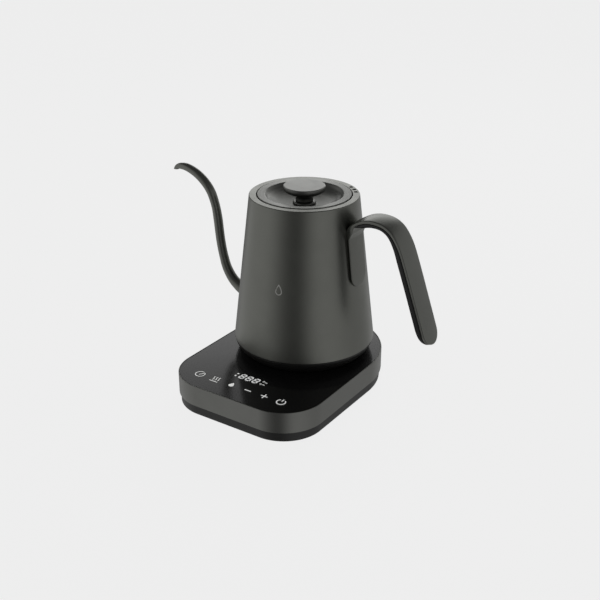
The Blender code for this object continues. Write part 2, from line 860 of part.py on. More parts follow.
def make_connector(parent, plastic, brass):
    """The vessel's half of the connector: a round housing, its ring and its pin."""
    bore = PIN_RADIUS + GAP
    ceiling = 0.0346
    slot = 0.0376
    skirt = 0.0240
    skirt_inner = SOCKET_RADIUS + 2 * GAP
    skirt_bottom = 0.0295
    flange_bottom = 0.0366
    housing_top = 0.0395
    profile = (
        (bore, ceiling),
        (RING_INNER - GAP, ceiling),
        (RING_INNER - GAP, slot),
        (RING_OUTER + GAP, slot),
        (RING_OUTER + GAP, ceiling),
        (skirt_inner, ceiling),
        (skirt_inner, skirt_bottom),
        (skirt, skirt_bottom),
        (skirt, flange_bottom),
        (0.0270, flange_bottom),
        (0.0270, housing_top),
        (bore, housing_top),
    )
    turned("kettle_connector", profile, plastic, parent)
    ring_bottom = 0.0215
    ring = (
        (RING_INNER, ring_bottom),
        (RING_OUTER, ring_bottom),
        (RING_OUTER, slot - GAP),
        (RING_INNER, slot - GAP),
    )
    turned("connector_ring", ring, brass, parent)
    head = housing_top + GAP
    pin = (
        (0, 0.0205),
        (PIN_RADIUS - 0.0008, 0.0205),
        (PIN_RADIUS, 0.0215),
        (PIN_RADIUS, head),
        (0.0034, head),
        (0.0034, head + 0.0012),
        (0, head + 0.0012),
    )
    turned("connector_pin", pin, brass, parent, steps=20)


# ---------------------------------------------------------------------------- lid
def make_lid(parent, metal, plastic, seal, gloss, steel):
    skirt_foot = LEDGE_HEIGHT + 0.0010
    floor = 0.1554
    hole = 0.0023
    edge = 0.0005
    ring_inner = 0.0325
    funnel = ((0.0300, 0.1613), (0.0240, 0.1579), (0.0120, floor))
    top = [(LID_RADIUS, skirt_foot), (LID_RADIUS, LID_TOP - edge)]
    top += [(LID_RADIUS - edge, LID_TOP), (ring_inner, LID_TOP), *funnel]
    top.append((hole, floor))
    under = [(hole, floor - LID_SHEET)]
    under += [(r, z - LID_SHEET) for r, z in reversed(funnel)]
    under += [(ring_inner, LID_TOP - LID_SHEET)]
    under += [(LID_RADIUS - LID_SHEET, LID_TOP - LID_SHEET)]
    under += [(LID_RADIUS - LID_SHEET, skirt_foot)]
    turned("lid_cover", top + under, metal, parent, steps=WALL_STEPS)

    plate_top = floor - LID_SHEET - GAP
    plate_bottom = plate_top - 0.0014
    plug = 0.0350
    plug_foot = 0.1446
    plate_rim = LID_RADIUS - LID_SHEET - GAP
    inner = (
        (0.0018, plate_top),
        (plate_rim, plate_top),
        (plate_rim, plate_bottom),
        (plug, plate_bottom),
        (plug, plug_foot),
        (plug - 0.0016, plug_foot),
        (plug - 0.0016, plate_bottom),
        (0.0018, plate_bottom),
    )
    turned("lid_inner", inner, plastic, parent)

    root = plug + GAP
    lip = LEDGE_RADIUS - 0.0004
    waist = root + 0.0006
    gasket = (
        (root, 0.1464), (waist, 0.1464), (lip, 0.1482), (waist, 0.1500), (root, 0.1500),
    )
    turned("lid_gasket", gasket, seal, parent)

    collar_foot = floor + GAP
    collar = (
        (hole, collar_foot),
        (0.0094, collar_foot),
        (0.0094, collar_foot + 0.0010),
        (0.0084, collar_foot + 0.0018),
        (hole, collar_foot + 0.0018),
    )
    turned("knob_collar", collar, gloss, parent)

    knob_foot = collar_foot + 0.0018 + GAP
    knob = (
        (0, KNOB_TOP),
        (KNOB_RADIUS - 0.0016, KNOB_TOP),
        (KNOB_RADIUS, KNOB_TOP - 0.0014),
        (KNOB_RADIUS, KNOB_TOP - 0.0030),
        (KNOB_RADIUS - 0.0010, KNOB_TOP - 0.0048),
        (0.0112, KNOB_TOP - 0.0072),
        (0.0070, KNOB_TOP - 0.0092),
        (0.0072, knob_foot),
        (0.0018, knob_foot),
        (0.0018, 0.1662),
        (0, 0.1662),
    )
    turned("knob", knob, gloss, parent)
    screw("knob_screw", steel, parent, (0, 0), plate_bottom - GAP, 0.1655)


# ----------------------------------------------------------------------- assembly
def main():
    clear_scene()
    body_metal = finish("anthracite_steel", (0.070, 0.071, 0.066), 0.38, 0.85)
    band_metal = finish("base_metal", (0.085, 0.086, 0.080), 0.42, 0.80)
    top_metal = finish("lid_steel", (0.200, 0.203, 0.190), 0.40, 0.85)
    strap_metal = finish("handle_coating", (0.060, 0.061, 0.056), 0.45, 0.30)
    panel_glass = finish("black_glass", (0.004, 0.004, 0.004), 0.06)
    plastic = finish("black_plastic", (0.012, 0.012, 0.012), 0.50)
    gloss = finish("knob_gloss", (0.080, 0.080, 0.075), 0.25, 0.60)
    rubber = finish("black_rubber", (0.015, 0.015, 0.015), 0.85)
    seal = finish("silicone_seal", (0.300, 0.300, 0.290), 0.70)
    steel = finish("bright_steel", (0.550, 0.550, 0.540), 0.30, 1.0)
    brass = finish("brass", (0.620, 0.430, 0.160), 0.30, 1.0)
    copper = finish("copper", (0.600, 0.250, 0.120), 0.35, 1.0)
    green = finish("circuit_board", (0.020, 0.110, 0.040), 0.55)

    middle_x = (SPOUT_REACH - HANDLE_REACH) / 2
    middle_y = (BASE_FRONT - BASE_REAR) / 2
    base = empty("base_axis", (middle_x, middle_y, DATUM))
    lift = empty("lift_axis", (0, 0, 0), base)
    kettle = empty("swivel_axis", (0, 0, 0), lift)
    lid = empty("lid_axis", (0, 0, 0), kettle)

    deck, deck_bottom, tray = make_base_casing(
        base, band_metal, panel_glass, plastic, rubber, steel
    )
    make_cord_gland(base, rubber)
    make_socket(base, deck, deck_bottom, plastic, brass, steel)
    make_electronics(base, deck, deck_bottom, tray, green, plastic, copper, steel)

    make_connector(lift, plastic, brass)

    make_body_shell(kettle, body_metal)
    guide = wall_guide("wall_guide", GAP, body_metal, kettle)
    make_spout(kettle, body_metal, guide)
    make_handle(kettle, strap_metal, plastic, guide)
    make_kettle_bottom(kettle, steel, plastic, steel, steel)

    make_lid(lid, top_metal, plastic, seal, gloss, steel)


main()
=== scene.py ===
"""The looks of the gooseneck electric kettle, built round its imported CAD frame."""

import json
import math

import bmesh
import bpy
from mathutils import Matrix, Vector


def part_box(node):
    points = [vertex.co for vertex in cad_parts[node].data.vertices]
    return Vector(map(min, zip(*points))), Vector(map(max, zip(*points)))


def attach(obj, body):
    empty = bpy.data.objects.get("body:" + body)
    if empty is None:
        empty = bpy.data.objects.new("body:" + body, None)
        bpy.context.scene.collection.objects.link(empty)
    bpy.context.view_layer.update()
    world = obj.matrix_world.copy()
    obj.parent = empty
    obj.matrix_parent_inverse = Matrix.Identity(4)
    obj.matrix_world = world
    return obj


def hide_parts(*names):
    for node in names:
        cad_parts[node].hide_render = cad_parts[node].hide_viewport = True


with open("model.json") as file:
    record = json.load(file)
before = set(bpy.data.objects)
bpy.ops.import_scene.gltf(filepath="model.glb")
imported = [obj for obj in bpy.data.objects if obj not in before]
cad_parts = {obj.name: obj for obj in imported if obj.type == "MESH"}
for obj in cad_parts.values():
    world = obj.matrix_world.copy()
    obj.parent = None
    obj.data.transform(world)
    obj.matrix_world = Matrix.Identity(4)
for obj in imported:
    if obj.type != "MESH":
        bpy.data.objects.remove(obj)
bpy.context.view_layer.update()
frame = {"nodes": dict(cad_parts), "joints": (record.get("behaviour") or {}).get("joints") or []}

MM = 0.001

# The vessel's upright axis, about which most of the object is turned, at the level
# that heights are measured from: the joint lies 30 mm over it
SWIVEL = next(j for j in frame["joints"] if j["name"] == "kettle_swivel")
AXIS = Vector(SWIVEL["pos_m"]) - Vector((0.0, 0.0, 0.030))

# Camera
CAMERA_AZIMUTH = math.radians(34.0)
CAMERA_ELEVATION = math.radians(24.7)
CAMERA_DISTANCE = 0.838
CAMERA_AIM = AXIS + Vector((-0.00433, 0.0, 0.0667))
CAMERA_LENS = 58.6
SENSOR_WIDTH = 36.0

PALE = 0.863  # brightness of the room behind the floor
FLOOR_GLOW = 0.83  # the floor's own share of its brightness; the room gives the rest
FLOOR_SHADE = 0.085
FLOOR_RADIUS = 6.0
LAMP_AIM = AXIS + Vector((0, 0, 0.08))


# -------------------------------------------------------------------- the studio
def heading(turn, rise):
    """The way that lies so far right of the camera and so far up, both in radians."""
    angle = CAMERA_AZIMUTH + turn
    flat = math.cos(rise)
    return Vector((math.sin(angle) * flat, -math.cos(angle) * flat, math.sin(rise)))


def aim(thing, place, back):
    """Puts a camera or lamp at a place, with its back turned along a direction."""
    bpy.context.scene.collection.objects.link(thing)
    thing.location = place
    thing.rotation_mode = "QUATERNION"
    thing.rotation_quaternion = back.to_track_quat("Z", "Y")


def make_camera():
    data = bpy.data.cameras.new("camera")
    data.lens = CAMERA_LENS
    data.sensor_width = SENSOR_WIDTH
    data.clip_start = 0.01
    data.clip_end = 50.0
    camera = bpy.data.objects.new("camera", data)
    back = heading(0.0, CAMERA_ELEVATION)
    aim(camera, CAMERA_AIM + back * CAMERA_DISTANCE, back)
    bpy.context.scene.camera = camera


def new_node(tree, kind, **values):
    """Adds a shader node, whose kind is given without its common prefix."""
    made = tree.nodes.new("ShaderNode" + kind)
    for key, value in values.items():
        setattr(made, key, value)
    return made


# Soft panels of light round the object. Each has its left and right ends in degrees to
# the right of the camera and how soft each is, its foot and its top as sines of
# elevation and how soft each is, and its brightness.
LIGHT_PANELS = (
    (-140, -48, 12, 28, -1.0, 0.55, 0.20, 0.20, 0.46),
    (6, 152, 18, 20, -1.0, 0.55, 0.20, 0.20, 0.31),
    (8, 62, 18, 24, -1.0, 0.30, 0.20, 0.20, 0.12),
    (152, 196, 8, 8, 0.03, 0.47, 0.05, 0.14, 1.44),
    (140, 225, 12, 12, -1.0, 0.02, 0.10, 0.10, 0.20),
    (150, 200, 12, 20, 0.55, 0.85, 0.12, 0.15, 0.12),
)
ROOM_LIGHT = 0.10


def make_room():
    """A dim room with soft panels of light, which the kettle's coating mirrors."""
    world = bpy.data.worlds.new("studio")
    bpy.context.scene.world = world
    world.use_nodes = True
    tree = world.node_tree
    tree.nodes.clear()
    link = tree.links.new

    def node(kind, **values):
        return new_node(tree, kind, **values)

    def math_node(operation, first, second=0.0):
        made = node("Math", operation=operation)
        for socket, value in zip(made.inputs, (first, second)):
            if isinstance(value, (int, float)):
                socket.default_value = value
            else:
                link(value, socket)
        return made.outputs[0]

    def along(degrees):
        """How far a direction runs towards a bearing from the camera."""
        made = node("VectorMath", operation="DOT_PRODUCT")
        link(coordinates.outputs["Generated"], made.inputs[0])
        made.inputs[1].default_value = heading(math.radians(degrees), 0.0)
        return made.outputs["Value"]

    def step(value, start, end):
        """Smooth rise from 0 at start to 1 at end, which may run downwards."""
        made = node("MapRange", interpolation_type="SMOOTHSTEP")
        link(value, made.inputs["Value"])
        made.inputs["From Min"].default_value = start
        made.inputs["From Max"].default_value = end
        return made.outputs["Result"]

    coordinates = node("TexCoord")
    height = node("SeparateXYZ")
    link(coordinates.outputs["Generated"], height.inputs[0])
    up = height.outputs[2]
    total = ROOM_LIGHT
    for left, right, left_blur, right_blur, *levels, light in LIGHT_PANELS:
        foot, top, foot_blur, top_blur = levels
        middle = (left + right) / 2
        swing = math_node("ARCTAN2", along(middle + 90), along(middle))
        ends = ((left - middle, left_blur), (right - middle, -right_blur))
        panel = 1.0
        for end, blur in ends:
            edge = step(swing, math.radians(end - blur), math.radians(end + blur))
            panel = math_node("MULTIPLY", edge, panel)
        panel = math_node("MULTIPLY", panel, step(up, foot - foot_blur, foot + foot_blur))
        panel = math_node("MULTIPLY", panel, step(up, top + top_blur, top - top_blur))
        total = math_node("ADD", math_node("MULTIPLY", panel, light), total)
    studio = node("Background")
    studio.inputs["Color"].default_value = (1, 1, 1, 1)
    link(total, studio.inputs["Strength"])
    plain = node("Background")
    plain.inputs["Color"].default_value = (PALE, PALE, PALE, 1)
    path = node("LightPath")
    mix = node("MixShader")
    link(path.outputs["Is Camera Ray"], mix.inputs[0])
    link(studio.outputs[0], mix.inputs[1])
    link(plain.outputs[0], mix.inputs[2])
    out = node("OutputWorld")
    link(mix.outputs[0], out.inputs[0])


def make_floor():
    """A plain pale table, wide enough for every view."""
    shape = bmesh.new()
    bmesh.ops.create_circle(shape, cap_ends=True, segments=96, radius=FLOOR_RADIUS)
    mesh = bpy.data.meshes.new("floor")
    shape.to_mesh(mesh)
    shape.free()
    floor = bpy.data.objects.new("floor", mesh)
    bpy.context.scene.collection.objects.link(floor)
    material = bpy.data.materials.new("floor")
    material.use_nodes = True
    shader = material.node_tree.nodes["Principled BSDF"]
    shader.inputs["Base Color"].default_value = (FLOOR_SHADE, FLOOR_SHADE, FLOOR_SHADE, 1)
    shader.inputs["Roughness"].default_value = 1.0
    shader.inputs["Specular IOR Level"].default_value = 0.0
    shader.inputs["Emission Color"].default_value = (1, 1, 1, 1)
    shader.inputs["Emission Strength"].default_value = FLOOR_GLOW
    mesh.materials.append(material)
    floor.visible_glossy = False
    floor.visible_diffuse = False
    floor.visible_shadow = False


def area_light(name, turn, rise, distance, size, power):
    """A soft square lamp that the coating doesn't mirror, at so many degrees right and up."""
    data = bpy.data.lights.new(name, "AREA")
    data.shape = "SQUARE"
    data.size = size
    data.energy = power
    lamp = bpy.data.objects.new(name, data)
    way = heading(math.radians(turn), math.radians(rise))
    aim(lamp, LAMP_AIM + way * distance, way)
    lamp.visible_camera = False
    lamp.visible_glossy = False


# ------------------------------------------------------------------- mesh tools
CORNER_LIMIT = 0.48  # the most of an edge that the rounding of one of its ends takes


def arc(start, corner, end, steps):
    """Points of a curve from start to end that leaves along the lines to the corner."""
    points = []
    for i in range(steps + 1):
        angle = math.pi / 2 * i / steps
        points.append(
            tuple(
                c + (s - c) * (1 - math.sin(angle)) + (e - c) * (1 - math.cos(angle))
                for s, c, e in zip(start, corner, end)
            )
        )
    return points


def softened(outline, steps=4):
    """Rounds the corners of a closed outline of (x, y, size) in millimetres."""
    points = []
    count = len(outline)
    for i, (x, y, size) in enumerate(outline):
        if not size:
            points.append((x, y))
            continue
        sizes = size if isinstance(size, tuple) else (size, size)
        ends = []
        for (nx, ny, _), reach in zip((outline[i - 1], outline[(i + 1) % count]), sizes):
            length = math.hypot(nx - x, ny - y)
            share = min(reach, CORNER_LIMIT * length) / length
            ends.append((x + (nx - x) * share, y + (ny - y) * share))
        points += arc(ends[0], (x, y), ends[1], steps)
    return points


def put(name, shape, material, body, *nodes, slot=None, sharp=40, weigh=True):
    """Makes a bmesh a smooth piece that rides on a body and stands for CAD nodes."""
    bmesh.ops.remove_doubles(shape, verts=shape.verts, dist=1e-7)
    bmesh.ops.recalc_face_normals(shape, faces=shape.faces)
    mesh = bpy.data.meshes.new(name)
    shape.to_mesh(mesh)
    shape.free()
    mesh.shade_smooth()
    mesh.set_sharp_from_angle(angle=math.radians(sharp))
    for one in material if isinstance(material, (list, tuple)) else [material]:
        mesh.materials.append(one)
    piece = bpy.data.objects.new(name, mesh)
    bpy.context.scene.collection.objects.link(piece)
    if weigh:
        normals = piece.modifiers.new("even_flats", "WEIGHTED_NORMAL")
        normals.keep_sharp = True
        normals.weight = 50
    if nodes:
        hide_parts(*nodes)
    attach(piece, body)
    return piece


def turned_point(radius, angle, height):
    return Vector((radius * math.cos(angle), radius * math.sin(angle), height))


def turned_shape(profile, steps=128, centre=AXIS):
    """Turns a closed outline of (radius, height) in millimetres about an upright axis."""
    shape = bmesh.new()
    rings = []
    for radius, height in profile:
        if radius < 1e-4:
            rings.append([shape.verts.new(centre + Vector((0, 0, height * MM)))])
            continue
        ring = []
        for i in range(steps):
            spot = turned_point(radius, 2 * math.pi * i / steps, height)
            ring.append(shape.verts.new(centre + spot * MM))
        rings.append(ring)
    for near, far in zip(rings, rings[1:] + rings[:1]):
        if len(near) == 1 and len(far) == 1:
            continue
        for i in range(steps):
            j = (i + 1) % steps
            corners = [
                near[i % len(near)], near[j % len(near)],
                far[j % len(far)], far[i % len(far)],
            ]
            shape.faces.new(dict.fromkeys(corners))
    return shape


def bridged_shape(rings, loop=False):
    """Skins rings of equal length, in metres, and closes the ends if it isn't a loop."""
    shape = bmesh.new()
    rows = [[shape.verts.new(point) for point in ring] for ring in rings]
    following = rows[1:] + rows[:1] if loop else rows[1:]
    for near, far in zip(rows, following):
        for i, start in enumerate(near):
            j = (i + 1) % len(near)
            shape.faces.new((start, near[j], far[j], far[i]))
    if not loop:
        shape.faces.new(rows[0])
        shape.faces.new(rows[-1][::-1])
    return shape


def put_turned(name, outline, steps, finish, body, node, slot, rounding=4):
    """Puts a piece that is turned about the vessel's axis, from its sharp outline."""
    shape = turned_shape(softened(outline, rounding), steps)
    put(name, shape, FINISHES[finish], body, node, slot=slot)


def cut(shape, cutters):
    """Takes cutter shapes away from a shape and gives the result as a new bmesh."""
    objects = []
    for one in [shape, *cutters]:
        bmesh.ops.remove_doubles(one, verts=one.verts, dist=1e-7)
        bmesh.ops.recalc_face_normals(one, faces=one.faces)
        mesh = bpy.data.meshes.new("cutting")
        one.to_mesh(mesh)
        one.free()
        made = bpy.data.objects.new("cutting", mesh)
        bpy.context.scene.collection.objects.link(made)
        objects.append(made)
    target = objects[0]
    for tool in objects[1:]:
        step = target.modifiers.new("cut", "BOOLEAN")
        step.operation = "DIFFERENCE"
        step.solver = "EXACT"
        step.object = tool
    graph = bpy.context.evaluated_depsgraph_get()
    mesh = bpy.data.meshes.new_from_object(target.evaluated_get(graph), depsgraph=graph)
    result = bmesh.new()
    result.from_mesh(mesh)
    for one in objects:
        bpy.data.objects.remove(one, do_unlink=True)
    return result


def rod_shape(radius, low, high, spot, steps=24):
    """An upright bar for cutting, in millimetres from the vessel's axis."""
    centre = AXIS + Vector((spot[0] * MM, spot[1] * MM, 0))
    return turned_shape([(0, low), (radius, low), (radius, high), (0, high)], steps, centre)


def tipped(shape, axis, across, height):
    """Tips a shape over, away from the vessel's upright axis, and moves it into place."""
    quarter = Matrix.Rotation(math.radians(-90), 3, axis)
    bmesh.ops.translate(shape, vec=-AXIS, verts=shape.verts)
    bmesh.ops.rotate(shape, matrix=quarter, verts=shape.verts)
    place = AXIS + Vector((0, across, height)) * MM
    bmesh.ops.translate(shape, vec=place, verts=shape.verts)
    return shape


def round_about(radius, degrees):
    angle = math.radians(degrees)
    return radius * math.cos(angle), radius * math.sin(angle)


# --------------------------------------------------------------------- materials
# Sockets of a colour Mix node, whose names repeat
MIX_FIRST, MIX_SECOND, MIX_RESULT = 6, 7, 2
# Where nearly all of a noise pattern's values lie
NOISE_LOW, NOISE_HIGH = 0.3, 0.7


class Finish:
    """A Principled material whose colour, roughness and relief come from patterns."""

    def __init__(self, name, roughness, metallic=0.0, **sockets):
        self.material = bpy.data.materials.new(name)
        self.material.use_nodes = True
        self.tree = self.material.node_tree
        self.shader = self.tree.nodes["Principled BSDF"]
        self.shader.inputs["Metallic"].default_value = metallic
        self.shader.inputs["Roughness"].default_value = roughness
        for key, value in sockets.items():
            self.shader.inputs[key.replace("_", " ")].default_value = value
        place = self.node("TexCoord")
        shift = self.node("VectorMath", operation="SUBTRACT")
        self.link(place.outputs["Object"], shift.inputs[0])
        shift.inputs[1].default_value = AXIS
        self.here = shift.outputs[0]

    def node(self, kind, **values):
        return new_node(self.tree, kind, **values)

    def link(self, first, second):
        self.tree.links.new(first, second)

    def stretched(self, factors):
        made = self.node("VectorMath", operation="MULTIPLY")
        self.link(self.here, made.inputs[0])
        made.inputs[1].default_value = factors
        return made.outputs[0]

    def scaled(self, value, factor):
        made = self.node("Math", operation="MULTIPLY")
        self.link(value, made.inputs[0])
        made.inputs[1].default_value = factor
        return made.outputs[0]

    def around(self, across, along, up):
        """Coordinates that run with the turning: radius, angle and height."""
        split = self.node("SeparateXYZ")
        self.link(self.here, split.inputs[0])
        flat = self.node("VectorMath", operation="MULTIPLY")
        self.link(self.here, flat.inputs[0])
        flat.inputs[1].default_value = (1, 1, 0)
        radius = self.node("VectorMath", operation="LENGTH")
        self.link(flat.outputs[0], radius.inputs[0])
        # A seamless angle: the unit direction in plan
        unit = self.node("VectorMath", operation="NORMALIZE")
        self.link(flat.outputs[0], unit.inputs[0])
        parts = self.node("SeparateXYZ")
        self.link(unit.outputs[0], parts.inputs[0])
        outward = self.scaled(radius.outputs["Value"], across)
        rise = self.node("Math", operation="MULTIPLY_ADD")
        self.link(split.outputs[2], rise.inputs[0])
        rise.inputs[1].default_value = up
        self.link(outward, rise.inputs[2])
        joined = self.node("CombineXYZ")
        for i in range(2):
            self.link(self.scaled(parts.outputs[i], along), joined.inputs[i])
        self.link(rise.outputs[0], joined.inputs[2])
        return joined.outputs[0]

    def noise(self, scale, detail=3.0, where=None):
        made = self.node("TexNoise")
        self.link(where or self.here, made.inputs["Vector"])
        made.inputs["Scale"].default_value = scale
        made.inputs["Detail"].default_value = detail
        made.inputs["Roughness"].default_value = 0.55
        return made.outputs["Fac"]

    def between(self, value, low, high):
        made = self.node("MapRange")
        self.link(value, made.inputs["Value"])
        made.inputs["From Min"].default_value = NOISE_LOW
        made.inputs["From Max"].default_value = NOISE_HIGH
        made.inputs["To Min"].default_value = low
        made.inputs["To Max"].default_value = high
        return made.outputs["Result"]

    def colours(self, value, dark, light):
        made = self.node("ValToRGB")
        self.link(value, made.inputs[0])
        ends = made.color_ramp.elements
        ends[0].position, ends[1].position = NOISE_LOW, NOISE_HIGH
        ends[0].color, ends[1].color = (*dark, 1), (*light, 1)
        return made.outputs[0]

    def dimmed(self, colour, shade):
        made = self.node("Mix", data_type="RGBA", blend_type="MULTIPLY")
        made.inputs["Factor"].default_value = 1.0
        self.link(colour, made.inputs[MIX_FIRST])
        self.link(shade, made.inputs[MIX_SECOND])
        return made.outputs[MIX_RESULT]

    def paint(self, colour):
        self.link(colour, self.shader.inputs["Base Color"])

    def polish(self, value):
        self.link(value, self.shader.inputs["Roughness"])

    def relief(self, height, depth):
        """Gives the surface the bump of a height pattern, depth in metres."""
        made = self.node("Bump")
        made.inputs["Strength"].default_value = 1.0
        made.inputs["Distance"].default_value = depth
        self.link(height, made.inputs["Height"])
        self.link(made.outputs[0], self.shader.inputs["Normal"])


def shades(colour, spread):
    """A darker and a lighter neighbour of a colour."""
    return (
        tuple(part * (1 - spread) for part in colour),
        tuple(part * (1 + spread) for part in colour),
    )


def coated_metal(name, colour, roughness):
    """Fine-grained baked coating: sub-millimetre grain and broad, faint cloudiness."""
    made = Finish(name, roughness, 1.0)
    fine = made.noise(2600.0, 4.0)
    broad = made.noise(28.0, 2.0)
    dark, light = shades(colour, 0.05)
    dim = made.colours(broad, (0.95, 0.95, 0.95), (1.0, 1.0, 1.0))
    made.paint(made.dimmed(made.colours(fine, dark, light), dim))
    made.polish(made.between(made.noise(90.0, 5.0), roughness - 0.02, roughness + 0.03))
    made.relief(fine, 0.000012)
    return made.material


def spun_metal(name, colour, roughness, lines):
    """Metal turned on a lathe: fine rings about the axis, in shade and in relief."""
    made = Finish(name, roughness, 1.0, Anisotropic=0.55)
    rings = made.noise(1.0, 3.0, made.around(lines, 2.0, lines))
    wide = made.noise(1.0, 2.0, made.around(420.0, 1.2, 420.0))
    dark, light = shades(colour, 0.12)
    dim = made.colours(wide, (0.92, 0.92, 0.92), (1.0, 1.0, 1.0))
    made.paint(made.dimmed(made.colours(rings, dark, light), dim))
    made.polish(made.between(rings, roughness - 0.04, roughness + 0.06))
    made.relief(rings, 0.000010)
    flow = made.node("Tangent", direction_type="RADIAL", axis="Z")
    made.link(flow.outputs[0], made.shader.inputs["Tangent"])
    return made.material


def moulded(name, colour, roughness, grain=1500.0, depth=0.00002, spread=0.15):
    """Moulded plastic or rubber with a fine eroded texture."""
    made = Finish(name, roughness)
    fine = made.noise(grain, 5.0)
    dark, light = shades(colour, spread)
    made.paint(made.colours(made.noise(grain * 0.25, 3.0), dark, light))
    made.polish(made.between(fine, roughness - 0.05, roughness + 0.06))
    made.relief(fine, depth)
    return made.material


def drawn_metal(name, colour, roughness, factors=(1, 1, 12), scale=260.0):
    """Bright drawn or rolled metal, with streaks along the direction of working."""
    made = Finish(name, roughness, 1.0)
    streaks = made.noise(scale, 4.0, made.stretched(factors))
    dark, light = shades(colour, 0.08)
    made.paint(made.colours(streaks, dark, light))
    made.polish(made.between(streaks, roughness - 0.05, roughness + 0.08))
    made.relief(streaks, 0.000008)
    return made.material


def glossy_panel(name, colour, roughness):
    """Black panel with a hard clear coat over a satin tint, faintly uneven."""
    made = Finish(name, roughness, 0.0, IOR=1.52)
    cloud = made.noise(60.0, 3.0)
    dark, light = shades(colour, 0.25)
    made.paint(made.colours(made.noise(700.0, 3.0), dark, light))
    made.polish(made.between(cloud, roughness - 0.015, roughness + 0.02))
    made.relief(made.noise(140.0, 1.0), 0.000004)
    return made.material


def circuit_laminate(name):
    """Green solder mask over copper tracks, with tinned pads."""
    made = Finish(name, 0.45)
    tracks = made.node("TexBrick")
    made.link(made.here, tracks.inputs["Vector"])
    tracks.inputs["Scale"].default_value = 210.0
    tracks.inputs["Mortar Size"].default_value = 0.035
    tracks.inputs["Color1"].default_value = (0.010, 0.075, 0.028, 1)
    tracks.inputs["Color2"].default_value = (0.014, 0.095, 0.034, 1)
    tracks.inputs["Mortar"].default_value = (0.030, 0.190, 0.060, 1)
    dots = made.node("TexVoronoi")
    made.link(made.here, dots.inputs["Vector"])
    dots.inputs["Scale"].default_value = 300.0
    pads = made.node("Math", operation="LESS_THAN")
    made.link(dots.outputs["Distance"], pads.inputs[0])
    pads.inputs[1].default_value = 0.16
    tin = made.node("Mix", data_type="RGBA")
    made.link(pads.outputs[0], tin.inputs["Factor"])
    made.link(tracks.outputs["Color"], tin.inputs[MIX_FIRST])
    tin.inputs[MIX_SECOND].default_value = (0.52, 0.52, 0.50, 1)
    made.paint(tin.outputs[MIX_RESULT])
    made.relief(tracks.outputs["Fac"], 0.00003)
    return made.material


def printed(name, colour, glow):
    """Pale ink, lit from behind, with the faint mottling of a screen print."""
    made = Finish(name, 0.45, 0.0, Emission_Strength=glow)
    dark, light = shades(colour, 0.04)
    ink = made.colours(made.noise(900.0, 3.0), dark, light)
    made.paint(ink)
    made.link(ink, made.shader.inputs["Emission Color"])
    return made.material


FINISHES = {
    "body": coated_metal("anthracite_coat", (0.198, 0.202, 0.184), 0.33),
    "band": coated_metal("base_coat", (0.200, 0.202, 0.190), 0.34),
    "strap": coated_metal("strap_coat", (0.190, 0.194, 0.178), 0.36),
    "lid": spun_metal("lid_spun_coat", (0.215, 0.218, 0.205), 0.34, 3200.0),
    "knob": coated_metal("knob_coat", (0.205, 0.207, 0.196), 0.34),
    "panel": glossy_panel("panel_black", (0.0110, 0.0110, 0.0110), 0.15),
    "plastic": moulded("black_plastic", (0.014, 0.014, 0.013), 0.42),
    "grip": moulded("grip_plastic", (0.010, 0.010, 0.010), 0.38, 2200.0, 0.000015),
    "socket": moulded("socket_plastic", (0.016, 0.016, 0.016), 0.36, 2200.0, 0.00001),
    "rubber": moulded("black_rubber", (0.016, 0.016, 0.016), 0.80, 1100.0, 0.00004),
    "seal": moulded("silicone_seal", (0.300, 0.300, 0.285), 0.62, 900.0, 0.00002, 0.04),
    "steel": drawn_metal("bright_steel", (0.56, 0.56, 0.54), 0.26),
    "screw": drawn_metal("screw_steel", (0.50, 0.50, 0.49), 0.30, (1, 1, 1), 1400.0),
    "brass": drawn_metal("contact_brass", (0.66, 0.47, 0.20), 0.26, (1, 1, 8), 500.0),
    "bronze": drawn_metal("spring_bronze", (0.58, 0.33, 0.17), 0.30, (1, 1, 20), 300.0),
    "board": circuit_laminate("circuit_board"),
    "ink": printed("panel_ink", (0.88, 0.89, 0.87), 0.55),
    "digits": printed("display_light", (0.90, 0.91, 0.90), 0.55),
    "mark": printed("wall_ink", (0.56, 0.56, 0.53), 0.0),
    "steel_spun": spun_metal("steel_spun", (0.55, 0.55, 0.53), 0.24, 2400.0),
}


# ------------------------------------------------------------------------ vessel
WALL_FOOT, WALL_FOOT_RADIUS = 37.3, 60.0
LEAN = 0.11615
VENT_RADIUS, VENT_CIRCLE, VENT_ANGLES = 1.75, 42.3, (39.0, 48.0, 57.0)
STRAINER_RADIUS, STRAINER_CIRCLE, STRAINER_LEVEL = 1.4, 4.0, 59.2
BARE_TOP = 151.6  # inside, the steel is uncoated up to here


def wall_radius(height):
    """The wall's outer radius, both in millimetres."""
    return WALL_FOOT_RADIUS - LEAN * (height - WALL_FOOT)


def wall_core(gap):
    """The wall's cone, drawn in by a gap, which the parts welded to it are cut back by."""
    low, high = 20, 180
    cone = [(0, low), (wall_radius(low) - gap, low), (wall_radius(high) - gap, high), (0, high)]
    return turned_shape(cone, 160)


